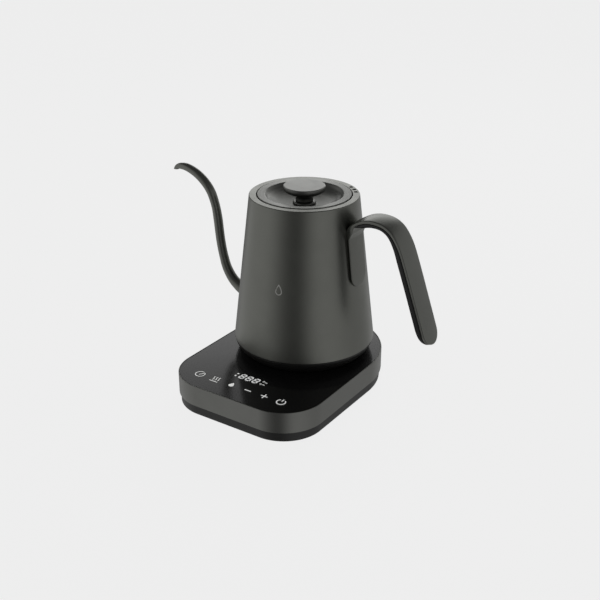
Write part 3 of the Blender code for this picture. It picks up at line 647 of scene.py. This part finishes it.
def make_wall():
    profile = softened(
        (
            (59.98, 37.3, 0.7), (45.353, 163.4, (0.8, 0.65)), (39.4, 163.4, 0.35),
            (39.4, 152.0, 0.2), (36.8, 152.0, 0.25), (36.8, 150.8, 0.25),
            (40.4, 150.8, 0.2), (40.4, 162.2, 0.2), (44.2, 162.2, 0.5),
            (58.75, 37.3, 0.2),
        ),
        6,
    )
    cutters = [
        rod_shape(VENT_RADIUS, 157.0, 166.0, round_about(VENT_CIRCLE, angle))
        for angle in VENT_ANGLES
    ]
    places = [(0.0, 0.0)] + [round_about(STRAINER_CIRCLE, 60 * i) for i in range(6)]
    for across, up in places:
        hole = rod_shape(STRAINER_RADIUS, 50.0, 66.0, (0, 0), 16)
        cutters.append(tipped(hole, "Y", across, STRAINER_LEVEL + up))
    shape = cut(turned_shape(profile, 160), cutters)
    for face in shape.faces:
        middle = (face.calc_center_median() - AXIS) / MM
        inside = math.hypot(middle.x, middle.y) < wall_radius(middle.z) - 0.5
        face.material_index = int(inside and middle.z < BARE_TOP)
    put(
        "vessel_wall", shape, [FINISHES["body"], FINISHES["steel_spun"]], "kettle",
        "body_shell", slot="body_coating", sharp=32,
    )


SPOUT_LINE = (
    (-50.0, 57.7, 6.6), (-59.0, 59.5, 5.9), (-68.5, 63.5, 5.1), (-76.8, 69.8, 4.5),
    (-82.9, 79.2, 4.2), (-86.3, 90.1, 4.0), (-88.6, 101.2, 4.0), (-90.0, 112.2, 4.0),
    (-91.2, 123.2, 4.0), (-93.1, 133.9, 3.8), (-96.7, 144.3, 3.9), (-100.8, 150.7, 3.9),
    (-105.9, 155.8, 3.9), (-112.3, 160.2, 3.8), (-119.0, 163.1, 3.6),
    (-124.5, 164.5, 3.4), (-129.1, 164.6, 3.0), (-132.5, 164.0, 2.6),
    (-135.0, 162.7, 2.3), (-136.4, 160.9, 2.2),
)
SPOUT_SIDES = 40
SPOUT_STEPS = 6
SPOUT_SKIN = 0.8
LIP_SLANT, LIP_THINNING, LIP_STEPS = 0.75, 0.22, 4
SLANT_SPANS = 3
WELD_REACH, WELD_SWELL = 1.6, 0.9


def smooth_line(points, steps):
    """Points along a Catmull-Rom curve through the given points."""
    points = [Vector(point) for point in points]
    ends = [2 * points[0] - points[1]] + points + [2 * points[-1] - points[-2]]
    line = []
    for a, b, c, d in zip(ends, ends[1:], ends[2:], ends[3:]):
        for i in range(steps):
            t = i / steps
            bend = 2 * a - 5 * b + 4 * c - d
            twist = 3 * b - a - 3 * c + d
            line.append((2 * b + (c - a) * t + bend * t**2 + twist * t**3) / 2)
    line.append(points[-1])
    return line


def way_along(line):
    """Unit tangents of a line in the XZ plane, and the normals to their left."""
    tangents = []
    for i in range(len(line)):
        step = line[min(i + 1, len(line) - 1)] - line[max(i - 1, 0)]
        tangents.append(step.normalized())
    return tangents, [Vector((-way.z, 0, way.x)) for way in tangents]


def make_spout():
    """The gooseneck: a thin tube with a rolled, slanting lip and a weld at its root."""
    samples = smooth_line([(x, r, z) for x, z, r in SPOUT_LINE], SPOUT_STEPS)
    line = [Vector((one.x, 0, one.z)) for one in samples]
    tangents, normals = way_along(line)
    last = len(line) - 1
    outside, inside = [], []
    for i, centre in enumerate(line):
        coarse = (i - last) / SPOUT_STEPS
        slant = LIP_SLANT * max(0.0, coarse + SLANT_SPANS) / SLANT_SPANS
        radius = samples[i].y
        # The rim thins to a round edge
        lip = LIP_THINNING * max(0.0, 1 - (last - i) / LIP_STEPS) ** 2
        for skin, ring in ((lip, outside), (SPOUT_SKIN - lip, inside)):
            ring.append([])
            for side in range(SPOUT_SIDES):
                across, along = round_about(radius - skin, 360 * side / SPOUT_SIDES)
                point = centre + normals[i] * -across + Vector((0, along, 0))
                point += tangents[i] * slant * across
                if ring is outside:
                    away = math.hypot(point.x, point.y) - wall_radius(point.z)
                    near = min(1.0, max(0.0, 1 - away / WELD_REACH))
                    swell = WELD_SWELL * (1 - math.sqrt(1 - near**2))
                    point += (point - centre).normalized() * swell
                ring[-1].append(AXIS + point * MM)
    shape = bridged_shape(outside + inside[::-1], loop=True)
    shape = cut(shape, [wall_core(0.08)])
    put(
        "gooseneck", shape, FINISHES["body"], "kettle", "spout", slot="body_coating",
        sharp=50, weigh=False,
    )


# ------------------------------------------------------------------------ handle
HALF_WIDTH = 11.0
LEG_FOOT, LEG_TOP, LEG_SINK = 94.0, 137.5, 3.6
HANDLE_LINE = (
    (46.4, 145.0), (51.0, 150.5), (58.4, 154.8), (66.2, 156.9), (74.1, 157.0),
    (81.5, 155.3), (88.1, 151.1), (93.8, 143.9), (98.7, 134.4), (105.7, 115.4),
    (113.0, 94.4), (120.3, 73.3), (124.3, 61.6),
)
# Depths below the handle's outer line, at lengths along it
STRAP_DEPTHS = ((0.0, 5.3), (42.0, 5.5), (52.0, 7.0), (61.0, 3.4))
GRIP_DEPTHS = (
    (59.0, 3.8), (61.0, 4.4), (68.0, 6.8), (78.0, 6.4), (88.0, 6.0), (101.0, 6.6),
    (113.0, 7.8), (123.0, 8.4), (182.0, 8.4), (189.0, 7.2), (195.5, 4.6),
)
LEG_BOW = ((0.0, 0.6), (42.0, 0.6), (54.0, 0.0))  # the leg's face falls to its edges
LEG_TUCK = ((0.0, 2.4), (44.0, 2.4), (56.0, 0.0))  # the leg's sides lean in to the wall
STRAP_CROWN = 0.7
STRAP_EDGES, GRIP_EDGES = (0.8, 0.45), (0.25, 1.9)  # rounding, outer and inner
GRIP_START, GRIP_SEAM = 60.0, 0.25
HANDLE_PITCH, TIP_STEPS, LEG_STEPS = 1.2, 16, 24


def read_table(length, table):
    """Straight-line reading of a table of (length, value) pairs."""
    if length <= table[0][0]:
        return table[0][1]
    for (near, low), (far, high) in zip(table, table[1:]):
        if length <= far:
            share = (length - near) / (far - near)
            return low + (high - low) * share
    return table[-1][1]


def smoothed(length, table, reach=3.0):
    """The table's reading averaged over a short stretch, so that it has no kinks."""
    spots = (-1.0, -0.5, 0.0, 0.5, 1.0)
    return sum(read_table(length + reach * spot, table) for spot in spots) / len(spots)


def handle_samples(first, round_start):
    """(place, normal, length, distance to the nearest round end) along the handle."""
    foot = Vector((wall_radius(LEG_FOOT) - LEG_SINK, 0, LEG_FOOT))
    top = Vector((wall_radius(LEG_TOP) - LEG_SINK, 0, LEG_TOP))
    arch = [Vector((x, 0, z)) for x, z in HANDLE_LINE]
    leg = [foot.lerp(top, i / LEG_STEPS) for i in range(LEG_STEPS)]
    line = leg + smooth_line([top] + arch, 10)
    lengths = [0.0]
    for near, far in zip(line, line[1:]):
        lengths.append(lengths[-1] + (far - near).length)
    total = lengths[-1]

    def at(length):
        for i in range(len(line) - 1):
            if length <= lengths[i + 1] or i == len(line) - 2:
                share = (length - lengths[i]) / (lengths[i + 1] - lengths[i])
                return line[i].lerp(line[i + 1], share)

    tip = [
        HALF_WIDTH * (1 - math.cos(math.pi / 2 * i / TIP_STEPS)) for i in range(TIP_STEPS + 1)
    ]
    wanted = [first + one for one in tip] if round_start else [first]
    place = wanted[-1]
    while place + HANDLE_PITCH < total - HALF_WIDTH:
        place += HANDLE_PITCH
        wanted.append(place)
    wanted += [total - one for one in reversed(tip)]
    samples = []
    for length in wanted:
        before = at(max(0, length - HANDLE_PITCH / 2))
        after = at(min(total, length + HANDLE_PITCH / 2))
        way = (after - before).normalized()
        normal = Vector((-way.z, 0, way.x))
        end = total - length
        if round_start:
            end = min(end, length - first)
        samples.append((at(length), normal, length, max(0.0, end)))
    return samples


def strap_shape(samples, outer, inner, edge, crown, bow_table=None, tuck_table=None):
    """A strap whose plan has round ends and whose edges are rounded all the way.

    Its outer face is narrower than its inner one by the tuck on each side.
    """
    count = 22
    rings = []
    for centre, normal, length, end in samples:
        short = max(0.0, 1 - end / HALF_WIDTH)
        half = HALF_WIDTH * math.sqrt(max(0.0, 1 - short**2))
        near_depth, far_depth = outer(length), inner(length)
        bow = smoothed(length, bow_table) if bow_table else 0.0
        tuck = smoothed(length, tuck_table) if tuck_table else 0.0
        ring = []
        for face, sign in (("outer", 1), ("inner", -1)):
            turn = edge[0] if face == "outer" else edge[1]
            turn = min(turn, (far_depth - near_depth) * CORNER_LIMIT)
            for i in range(count + 1):
                y = -half * math.cos(math.pi * i / count) * sign
                reach = math.hypot(y, max(0.0, HALF_WIDTH - end))
                rim = min(max(HALF_WIDTH - reach, 0.0), turn)
                drop = turn - math.sqrt(max(0.0, turn**2 - (turn - rim) ** 2))
                if face == "outer":
                    depth = near_depth + drop + crown * (y / HALF_WIDTH) ** 2
                    y *= 1 - tuck / HALF_WIDTH
                else:
                    depth = far_depth - drop - bow * min(1.0, reach / HALF_WIDTH) ** 2
                ring.append(AXIS + (centre - normal * depth + Vector((0, y, 0))) * MM)
        rings.append(ring)
    return bridged_shape(rings)


def make_handle():
    shape = strap_shape(
        handle_samples(0.0, True),
        lambda length: 0.0,
        lambda length: smoothed(length, STRAP_DEPTHS, 2.0),
        STRAP_EDGES,
        STRAP_CROWN,
        LEG_BOW,
        LEG_TUCK,
    )
    shape = cut(shape, [wall_core(0.05)])
    put(
        "handle_metal", shape, FINISHES["strap"], "kettle", "handle_strap",
        slot="strap_coating", sharp=45, weigh=False,
    )
    shape = strap_shape(
        handle_samples(GRIP_START, False),
        lambda length: smoothed(length, STRAP_DEPTHS, 2.0) + GRIP_SEAM,
        lambda length: smoothed(length, GRIP_DEPTHS, 2.0),
        GRIP_EDGES,
        0.0,
    )
    put(
        "handle_inner_grip", shape, FINISHES["grip"], "kettle", "handle_grip",
        slot="black_plastic", sharp=45, weigh=False,
    )


# ------------------------------------------------------------ vessel's underside
WELL_CIRCLE = 44.0


def make_underside():
    profile = softened(
        (
            (24.4, 28.6, 0.4), (47.5, 28.6, 0.5), (47.5, 26.4, 0.5), (52.0, 26.4, 0.8),
            (57.4, 31.2, 2.0), (59.2, 35.5, 1.2), (59.2, 37.0, 0.2), (58.14, 37.0, 0.15),
            (58.14, 40.4, 0.3), (56.7, 40.4, 0.3), (55.9, 33.0, 0.5), (51.0, 30.6, 0.5),
            (27.0, 30.6, 0.5), (27.0, 36.3, 0.3), (24.4, 36.3, 0.3),
        )
    )
    wells = [
        rod_shape(1.7, 20.0, 41.5, round_about(WELL_CIRCLE, 30 + 120 * i)) for i in range(3)
    ]
    shape = cut(turned_shape(profile, 144), wells)
    put(
        "vessel_foot", shape, FINISHES["plastic"], "kettle", "kettle_bottom_cover",
        slot="black_plastic",
    )
    put_turned(
        "connector_housing",
        (
            (2.5, 34.6, 0.3), (9.9, 34.6, 0.3), (9.9, 37.6, 0.2), (12.3, 37.6, 0.2),
            (12.3, 34.6, 0.3), (21.8, 34.6, 0.4), (21.8, 29.5, 0.4), (24.0, 29.5, 0.4),
            (24.0, 36.6, 0.3), (27.0, 36.6, 0.4), (27.0, 39.5, 0.5), (2.5, 39.5, 0.3),
        ),
        112, "socket", "coupler", "kettle_connector", "black_plastic",
    )
    put_turned(
        "connector_tube",
        ((10.2, 21.5, 0.5), (12.0, 21.5, 0.5), (12.0, 37.3, 0.3), (10.2, 37.3, 0.3)),
        96, "brass", "coupler", "connector_ring", "contact_brass",
    )
    put_turned(
        "connector_centre_pin",
        (
            (0, 20.5, 0), (1.5, 20.5, 0.3), (2.2, 21.6, 0.4), (2.2, 39.8, 0.1),
            (3.4, 39.8, 0.2), (3.4, 41.0, 0.3), (0, 41.0, 0),
        ),
        64, "brass", "coupler", "connector_pin", "contact_brass",
    )


# --------------------------------------------------------------------------- lid
def make_lid():
    put_turned(
        "lid_spun_cover",
        (
            (38.7, 153.0, 0.3), (38.7, 163.9, 0.55), (32.5, 163.9, 0.7),
            (30.0, 161.3, 1.2), (24.0, 157.9, 3.0), (12.0, 155.4, 4.0), (2.3, 155.4, 0.2),
            (2.3, 154.2, 0.2), (12.0, 154.2, 3.0), (24.0, 156.7, 3.0), (30.0, 160.1, 1.2),
            (32.5, 162.7, 0.7), (37.5, 162.7, 0.4), (37.5, 153.0, 0.3),
        ),
        160, "lid", "lid", "lid_cover", "lid_metal", 6,
    )
    put_turned(
        "lid_plug",
        (
            (1.8, 153.9, 0.2), (37.2, 153.9, 0.3), (37.2, 152.5, 0.3), (35.0, 152.5, 0.2),
            (35.0, 144.6, 0.4), (33.4, 144.6, 0.4), (33.4, 152.5, 0.4), (1.8, 152.5, 0.2),
        ),
        144, "plastic", "lid", "lid_inner", "black_plastic",
    )
    put_turned(
        "lid_seal",
        (
            (35.3, 146.4, 0.2), (35.9, 146.4, 0.25), (36.4, 148.2, 0.4),
            (35.9, 150.0, 0.25), (35.3, 150.0, 0.2),
        ),
        144, "seal", "lid", "lid_gasket", "silicone",
    )
    put_turned(
        "lid_knob",
        (
            (0, 170.6, 0), (17.25, 170.6, (0.9, 0.8)), (17.35, 167.4, 1.0),
            (16.3, 165.8, 1.2), (11.2, 163.4, 2.2), (7.0, 161.4, 1.6), (7.3, 157.8, 0.3),
            (1.8, 157.8, 0.2), (1.8, 166.2, 0), (0, 166.2, 0),
        ),
        144, "knob", "lid", "knob", "knob_metal", 6,
    )
    put_turned(
        "lid_collar",
        (
            (2.3, 155.7, 0.1), (9.4, 155.7, 0.2), (9.4, 156.8, 0.4), (8.4, 157.5, 0.4),
            (2.3, 157.5, 0.2),
        ),
        112, "knob", "lid", "knob_collar", "knob_metal",
    )


# -------------------------------------------------------------------------- base
BASE_HALF = 67.4
BASE_CORNER = 36.0
BASE_FRONT = 111.7
REAR_STEPS = 96
CORNER_STEPS = 28
CORD_LEVEL = 15.6
PANEL_INSET, PANEL_OPENING = 1.0, 21.5
FOOT_POCKETS = ((-42, 34), (42, 34), (-46, -94), (46, -94))


def base_plan(inset):
    """The base's outline, drawn in by inset, as (x, y) in millimetres."""
    side = BASE_HALF - BASE_CORNER
    front = BASE_CORNER - BASE_FRONT
    points = []
    for x, y, radius, start, sweep, steps in (
        (0, 0, BASE_HALF, 0, 180, REAR_STEPS),
        (-side, front, BASE_CORNER, 180, 90, CORNER_STEPS),
        (side, front, BASE_CORNER, 270, 90, CORNER_STEPS),
    ):
        for i in range(steps + 1):
            dx, dy = round_about(radius - inset, start + sweep * i / steps)
            points.append((x + dx, y + dy))
    return points


def base_ring(inset, height):
    return [AXIS + Vector((x, y, height)) * MM for x, y in base_plan(inset)]


def make_base():
    band = softened(
        (
            (0, 7.6, 0.25), (0, 25.75, 0.4), (0.75, 25.75, 0.15), (0.75, 23.7, 0.1),
            (2.4, 23.7, 0.1), (2.4, 7.6, 0.2),
        )
    )
    rings = [base_ring(inset, z) for inset, z in band]
    inlet = tipped(rod_shape(4.9, 60.0, 75.0, (0, 0), 32), "X", 0, CORD_LEVEL)
    shape = cut(bridged_shape(rings, loop=True), [inlet])
    put(
        "base_metal_band", shape, FINISHES["band"], "base", "base_shell",
        slot="base_coating",
    )

    outer = softened(((PANEL_INSET, 24.0, 0.1), (PANEL_INSET, 26.0, 0.4)))
    rings = [base_ring(inset, z) for inset, z in outer]
    angles = [math.atan2(y, x) for x, y in base_plan(PANEL_INSET)]
    for radius, z in softened(((PANEL_OPENING, 26.0, 0.25), (PANEL_OPENING, 24.0, 0.1)), 3):
        rings.append([AXIS + turned_point(radius, angle, z) * MM for angle in angles])
    put(
        "base_touch_top", bridged_shape(rings, loop=True), FINISHES["panel"], "base",
        "touch_panel", slot="panel_black",
    )

    tray = softened(
        (
            (2.4, -1.0, 0.4), (1.5, -0.6, 0.4), (1.4, 0.6, 0.5), (1.4, 7.3, 0.15),
            (2.7, 7.3, 0.1), (2.7, 9.5, 0.3), (4.2, 9.5, 0.3), (4.2, 3.2, 0.3),
        )
    )
    rings = [base_ring(inset, z) for inset, z in tray]
    shape = bridged_shape(rings + [base_ring(4.2, 3.1)])
    shape = cut(shape, [rod_shape(6.5, -3.0, 2.2, spot, 40) for spot in FOOT_POCKETS])
    put(
        "base_tray", shape, FINISHES["plastic"], "base", "base_bottom_cover",
        slot="black_plastic",
    )
    for i in range(4):
        low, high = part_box(f"foot_{i + 1}")
        centre = Vector(((low.x + high.x) / 2, (low.y + high.y) / 2, low.z))
        tall = (high.z - low.z) / MM
        foot = softened(
            (
                (0, 0, 0), (4.6, 0, 0.3), (5.0, 0.25, 0.2), (6.2, 0.25, 0.5),
                (6.2, tall, 0.1), (0, tall, 0),
            )
        )
        put(
            f"base_foot_pad_{i + 1}", turned_shape(foot, 48, centre), FINISHES["rubber"],
            "base", f"foot_{i + 1}", slot="black_rubber",
        )

    put_turned(
        "base_power_boss",
        (
            (3.4, 14.0, 0.3), (3.4, 33.8, 0.5), (9.2, 33.8, 0.5), (9.2, 19.5, 0.3),
            (13.0, 19.5, 0.3), (13.0, 33.8, 0.5), (21.2, 33.8, 1.2), (21.2, 21.2, 0.2),
            (29.0, 21.2, 0.2), (29.0, 18.2, 0.2), (15.5, 18.2, 0.2), (15.5, 14.0, 0.3),
        ),
        128, "socket", "base", "base_socket", "black_plastic",
    )

    grommet = softened(
        (
            (3.2, 62.8, 0.2), (5.6, 62.8, 0.3), (5.6, 64.1, 0.2), (4.5, 64.1, 0.1),
            (4.5, 67.7, 0.1), (6.0, 67.7, 0.2), (6.0, 68.8, 0.5), (3.2, 68.8, 0.4),
        )
    )
    shape = tipped(turned_shape(grommet, 64), "X", 0, CORD_LEVEL)
    put(
        "base_cord_grommet", shape, FINISHES["rubber"], "base", "cord_gland",
        slot="black_rubber",
    )


# --------------------------------------------------------- printing and display
PRINT_FOOT, PRINT_TOP = -0.01, 0.03  # the ink's levels over the surface it is on


def prism(shape, low, high):
    """Adds a closed prism between two outlines."""
    low = [shape.verts.new(point) for point in low]
    high = [shape.verts.new(point) for point in high]
    shape.faces.new(low[::-1])
    shape.faces.new(high)
    for i in range(len(low)):
        j = (i + 1) % len(low)
        shape.faces.new((low[i], low[j], high[j], high[i]))


def flat_print(name, polygons, material):
    """Thin raised ink on the panel, from outlines in millimetres."""
    level = (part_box("touch_panel")[1].z - AXIS.z) / MM
    shape = bmesh.new()
    for polygon in polygons:
        outlines = []
        for lift in (PRINT_FOOT, PRINT_TOP):
            outlines.append([AXIS + Vector((x, y, level + lift)) * MM for x, y in polygon])
        prism(shape, *outlines)
    mesh = bpy.data.meshes.new(name)
    bmesh.ops.recalc_face_normals(shape, faces=shape.faces)
    shape.to_mesh(mesh)
    shape.free()
    mesh.materials.append(material)
    piece = bpy.data.objects.new(name, mesh)
    bpy.context.scene.collection.objects.link(piece)
    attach(piece, "base")


def stroke(points, width):
    """A line of even width as one outline."""
    left, right = [], []
    for i, (x, y) in enumerate(points):
        ax, ay = points[max(i - 1, 0)]
        bx, by = points[min(i + 1, len(points) - 1)]
        length = math.hypot(bx - ax, by - ay)
        nx, ny = -(by - ay) / length * width / 2, (bx - ax) / length * width / 2
        left.append((x + nx, y + ny))
        right.append((x - nx, y - ny))
    return left + right[::-1]


def pieces_of(points, width):
    """The same line as a row of small quads, for lines that bend a lot."""
    outline = stroke(points, width)
    return [
        [outline[i], outline[i + 1], outline[-2 - i], outline[-1 - i]]
        for i in range(len(points) - 1)
    ]


def ring_points(x, y, radius, start, end, steps=24):
    points = []
    for i in range(steps + 1):
        dx, dy = round_about(radius, start + (end - start) * i / steps)
        points.append((x + dx, y + dy))
    return points


KEY_PITCH = 16.2
KEY_ROW = -93.0
DISPLAY_ROW = -77.0


def drop_point(angle, half_width, half_height, taper):
    """A point of a drop's outline, whose tip is at the top."""
    width = math.sin(angle) * math.sin(angle / 2) ** taper
    return half_width * width, half_height * math.cos(angle)


def make_icons():
    keys = [(i - 2.5) * KEY_PITCH for i in range(6)]
    row = KEY_ROW
    shapes = []
    # Timer: a ring with a hand
    x = keys[0]
    shapes += pieces_of(ring_points(x, row, 4.0, 70, 400, 30), 0.6)
    shapes.append(stroke([(x - 0.6, row - 1.2), (x + 0.9, row + 0.6), (x + 2.6, row + 3.4)], 0.6))
    # Steam: three wavy lines over a bar
    x = keys[1]
    for shift in (-2.5, 0.0, 2.5):
        wave = []
        for i in range(13):
            y = row - 1.6 + 5.2 * i / 12
            wave.append((x + shift + 0.55 * math.sin(2 * math.pi * i / 12), y))
        shapes += pieces_of(wave, 0.58)
    shapes.append(stroke([(x - 4.0, row - 3.4), (x + 4.0, row - 3.4)], 0.75))
    # Drop: solid
    x = keys[2]
    drop = []
    for i in range(36):
        dx, dy = drop_point(2 * math.pi * i / 36, 3.1, 3.0, 1.4)
        drop.append((x + dx, row + 0.4 + dy))
    shapes.append(drop)
    # Minus and plus
    x = keys[3]
    shapes.append(stroke([(x - 3.1, row), (x + 3.1, row)], 0.95))
    x = keys[4]
    shapes.append(stroke([(x - 3.1, row), (x + 3.1, row)], 0.85))
    shapes.append(stroke([(x, row + 0.5), (x, row + 3.1)], 0.85))
    shapes.append(stroke([(x, row - 3.1), (x, row - 0.5)], 0.85))
    # Power: an open ring with a tick
    x = keys[5]
    shapes += pieces_of(ring_points(x, row, 3.6, 125, 415, 28), 0.8)
    shapes.append(stroke([(x, row + 1.0), (x, row + 4.4)], 0.8))
    flat_print("panel_key_marks", shapes, FINISHES["ink"])


def digit(x, y, width, height, line):
    """An eight in seven leaning bars."""
    lean = 0.14
    gap = 0.16
    half_w, half_h = width / 2 - line / 2, height / 2 - line / 2
    bars = []
    for level in (-half_h, 0.0, half_h):
        bars.append(((-half_w + gap, level), (half_w - gap, level)))
    for side in (-half_w, half_w):
        bars.append(((side, gap), (side, half_h - gap)))
        bars.append(((side, -half_h + gap), (side, -gap)))
    outlines = []
    for (ax, ay), (bx, by) in bars:
        length = math.hypot(bx - ax, by - ay)
        ux, uy = (bx - ax) / length, (by - ay) / length
        nx, ny = -uy * line / 2, ux * line / 2
        point = line / 2
        outline = [
            (ax, ay), (ax + ux * point + nx, ay + uy * point + ny),
            (bx - ux * point + nx, by - uy * point + ny), (bx, by),
            (bx - ux * point - nx, by - uy * point - ny),
            (ax + ux * point - nx, ay + uy * point - ny),
        ]
        outlines.append([(x + px + lean * py, y + py) for px, py in outline])
    return outlines


def make_display():
    shapes = []
    for x in (-8.8, -2.1, 4.6):
        shapes += digit(x, DISPLAY_ROW, 5.0, 7.4, 1.05)
    flat_print("display_digits", shapes, FINISHES["digits"])
    marks = []
    for x, rise in ((-14.8, 1.9), (-14.9, -1.9)):
        marks.append(ring_points(x, DISPLAY_ROW + rise, 0.85, 0, 345, 16))
    x = 10.6
    for rise, level in ((2.5, DISPLAY_ROW + 1.9), (-2.0, DISPLAY_ROW - 1.8)):
        marks += pieces_of(ring_points(x, DISPLAY_ROW + rise, 0.75, 0, 360, 12), 0.4)
        marks.append(stroke([(x + 1.6, level), (x + 3.8, level)], 0.7))
    flat_print("display_marks", marks, FINISHES["ink"])


def make_wall_mark():
    """A small plain drop outline on the vessel's front, in pale ink."""
    shape = bmesh.new()
    turn, level = math.radians(-79.0), 99.0
    outline = [drop_point(2 * math.pi * i / 40, 3.4, 4.2, 1.3) for i in range(41)]
    for quad in pieces_of(outline, 0.8):
        outlines = []
        for lift in (-0.02, PRINT_TOP):
            outlines.append([])
            for across, up in quad:
                radius = wall_radius(level + up) + lift
                spot = turned_point(radius, turn + across / radius, level + up)
                outlines[-1].append(AXIS + spot * MM)
        prism(shape, *outlines)
    put("wall_drop_mark", shape, FINISHES["mark"], "kettle", slot="body_coating", weigh=False)


# ------------------------------------------------------- finishes of CAD pieces
CARRIED_OVER = {
    "base_deck": "plastic", "control_board": "board", "power_board": "board",
    "display_module": "plastic", "buzzer": "plastic", "power_relay": "plastic",
    "power_supply": "plastic", "contact_line": "brass", "contact_neutral": "brass",
    "contact_earth": "brass", "heating_plate": "steel_spun",
    "heating_element": "steel", "thermostat": "steel", "temperature_probe": "steel",
    "knob_screw": "screw",
}
CARRIED_FAMILIES = {
    "base_screw": "screw", "socket_screw": "screw", "bottom_screw": "screw",
    "control_board_screw": "screw", "power_board_screw": "screw",
    "touch_spring": "bronze",
}


def finish_cad():
    for name, node in frame["nodes"].items():
        key = CARRIED_OVER.get(name)
        for family, finish in CARRIED_FAMILIES.items():
            if name.startswith(family):
                key = finish
        if key:
            for slot in node.material_slots:
                slot.material = FINISHES[key]


def main():
    bpy.context.scene.view_settings.view_transform = "Standard"
    make_camera()
    make_room()
    make_floor()
    area_light("key_softbox", 150.0, 48.0, 1.3, 0.55, 2.0)

    make_wall()
    make_spout()
    make_handle()
    make_underside()
    make_lid()
    make_base()
    make_icons()
    make_display()
    make_wall_mark()
    finish_cad()


main()
